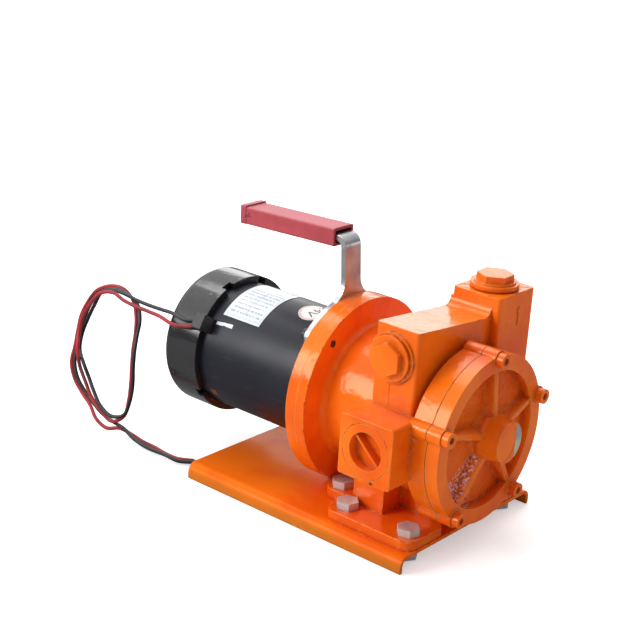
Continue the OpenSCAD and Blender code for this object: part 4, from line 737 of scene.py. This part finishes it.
red_wire = lay_lead("red_wire", RED_ROUTE, "red_lead", "lead_red")
black_wire = lay_lead("black_wire", BLACK_ROUTE, "black_lead", "lead_black")
print("leads laid:", red_wire.name, black_wire.name)

# %% [markdown]
# ## Lettering on the round label
#
# The label only says the voltage, and reads down the front of the tube. A flat text would
# float off a round tube, so the letters are turned into a mesh and every point of it is
# wrapped round the tube, a little outside the label's face.

# %% Wrap the voltage round the tube
LETTER_LIFT = 0.42 * MM


def wrapped_text(name, words, x, turn, size, finish, spin):
    data = bpy.data.curves.new(name, "FONT")
    data.body, data.size, data.align_x, data.align_y = words, size, "CENTER", "CENTER"
    data.resolution_u = 3
    text = bpy.data.objects.new(name, data)
    bpy.context.scene.collection.objects.link(text)
    bpy.context.view_layer.update()
    mesh = bpy.data.meshes.new_from_object(text)
    bpy.data.objects.remove(text)
    c, s = math.cos(math.radians(spin)), math.sin(math.radians(spin))
    for v in mesh.vertices:
        u, w = v.co.x * c - v.co.y * s, v.co.x * s + v.co.y * c
        v.co = on_tube(x + u, turn - math.degrees(w / TUBE_R), LETTER_LIFT)
    mesh.materials.clear()
    mesh.materials.append(finish.material)
    letters = bpy.data.objects.new(name, mesh)
    bpy.context.scene.collection.objects.link(letters)
    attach(letters, "pump")
    return letters


ink_black = Finish("label_ink")
ink_black.look(roughness=0.35 + 0.2 * ink_black.noise(2 * MM, 2),
               base_color=ink_black.blend(ink_black.noise(1.5 * MM, 3), (0.02, 0.02, 0.025),
                                          (0.07, 0.07, 0.08)))
voltage = wrapped_text("voltage_lettering", "24V", VOLT_X + 1.2 * MM, VOLT_TURN - 3,
                       size=13.5 * MM, finish=ink_black, spin=-100)
print("voltage lettering wrapped at turn", VOLT_TURN)

# %% [markdown]
# ## A plain studio
#
# The photograph is cut out on white. Light came mostly from the camera's left, with a wide
# soft light overhead, so the faces to the left and on top are bright and those towards the
# cover lie in shade. A broad pale screen behind the pump gives the top faces their white
# sheen, and a weak low light at the back right lifts the shaded side. A panorama of a real
# studio could do all this at once, but four soft boxes can be moved until each sheen on the
# pump lies where the photograph has it.

# %% Lights
def softbox(name, place, target, size, watts):
    light = bpy.data.lights.new(name, "AREA")
    light.shape, light.size, light.size_y, light.energy = "RECTANGLE", *size, watts
    lamp = bpy.data.objects.new(name, light)
    lamp.location = place
    lamp.rotation_euler = (Vector(target) - Vector(place)).to_track_quat("-Z", "Y").to_euler()
    bpy.context.scene.collection.objects.link(lamp)
    return lamp


softbox("window_left", (-1.1, -1.9, 1.1), (0, 0, 0.1), (1.1, 1.1), 35)
softbox("ceiling", (-0.7, 0.5, 1.9), (0, 0, 0.1), (1.6, 1.2), 20)
softbox("screen_behind", (-1.35, 1.9, 0.66), (0, 0, 0.15), (2.2, 0.76), 13)
softbox("low_right", (1.5, 1.5, 0.25), (0.1, 0, 0.1), (0.5, 0.3), 1.5)
print("soft lights:", len(bpy.data.lights))

# %% [markdown]
# White paper round a glossy black motor would turn it grey, so the surroundings look different
# to the camera and to the pump. The sky is plain white to the camera, but what the motor
# mirrors is a soft gradient, brighter overhead and to the left. The floor is white to the
# camera too and still takes the pump's shadow. Far from the pump, where the lights don't
# reach, it glows more, and mirrors see it darker than it is.

# %% World and floor
HORIZON, ZENITH, LEFT_GLOW, BACKDROP = 0.06, 0.72, 1.1, 1.0
world = bpy.data.worlds.new("studio")
bpy.context.scene.world = world
world.use_nodes = True
sky = Nodes(world.node_tree)
direction = sky.node("ShaderNodeTexCoord", out="Generated")
height, rightward = sky.axis(direction, "Z"), sky.axis(direction, "X")
left = sky.between(rightward, -0.35, -0.85) * sky.between(height, 0.1, 0.5)
glow = HORIZON + (ZENITH - HORIZON) * sky.between(height, 0.05, 0.85) + LEFT_GLOW * left
sees = sky.node("ShaderNodeLightPath", out="Is Camera Ray")
background = world.node_tree.nodes["Background"]
sky.feed(background.inputs["Color"], (1.0, 1.0, 1.0))
sky.feed(background.inputs["Strength"], glow + (BACKDROP - glow) * sees)

bpy.ops.mesh.primitive_plane_add(size=14, location=(0, 0, -0.2 * MM))
floor = bpy.context.object
floor.name = "studio_floor"
FLOOR_PALENESS, MIRRORED_LOSS, NEAR_GLOW, FAR_GLOW, NEAR, FAR = 0.86, 0.62, 0.45, 1.15, 0.45, 1.3
white = Finish("floor_white", roughness=0.9, specular_ior_level=0.1)
away = (white.x * white.x + white.y * white.y).root()
sees = white.node("ShaderNodeLightPath", out="Is Camera Ray")
mirrored = white.node("ShaderNodeLightPath", out="Is Glossy Ray")
paleness = FLOOR_PALENESS - MIRRORED_LOSS * mirrored
shine = (NEAR_GLOW + (FAR_GLOW - NEAR_GLOW) * white.between(away, NEAR, FAR)) * sees
white.look(base_color=white.grey(paleness), emission_strength=1.0,
           emission_color=white.grey(shine))
floor.data.materials.append(white.material)
bpy.context.scene.view_settings.view_transform = "Standard"
print("studio is set")

# %% Update the scene
bpy.context.view_layer.update()
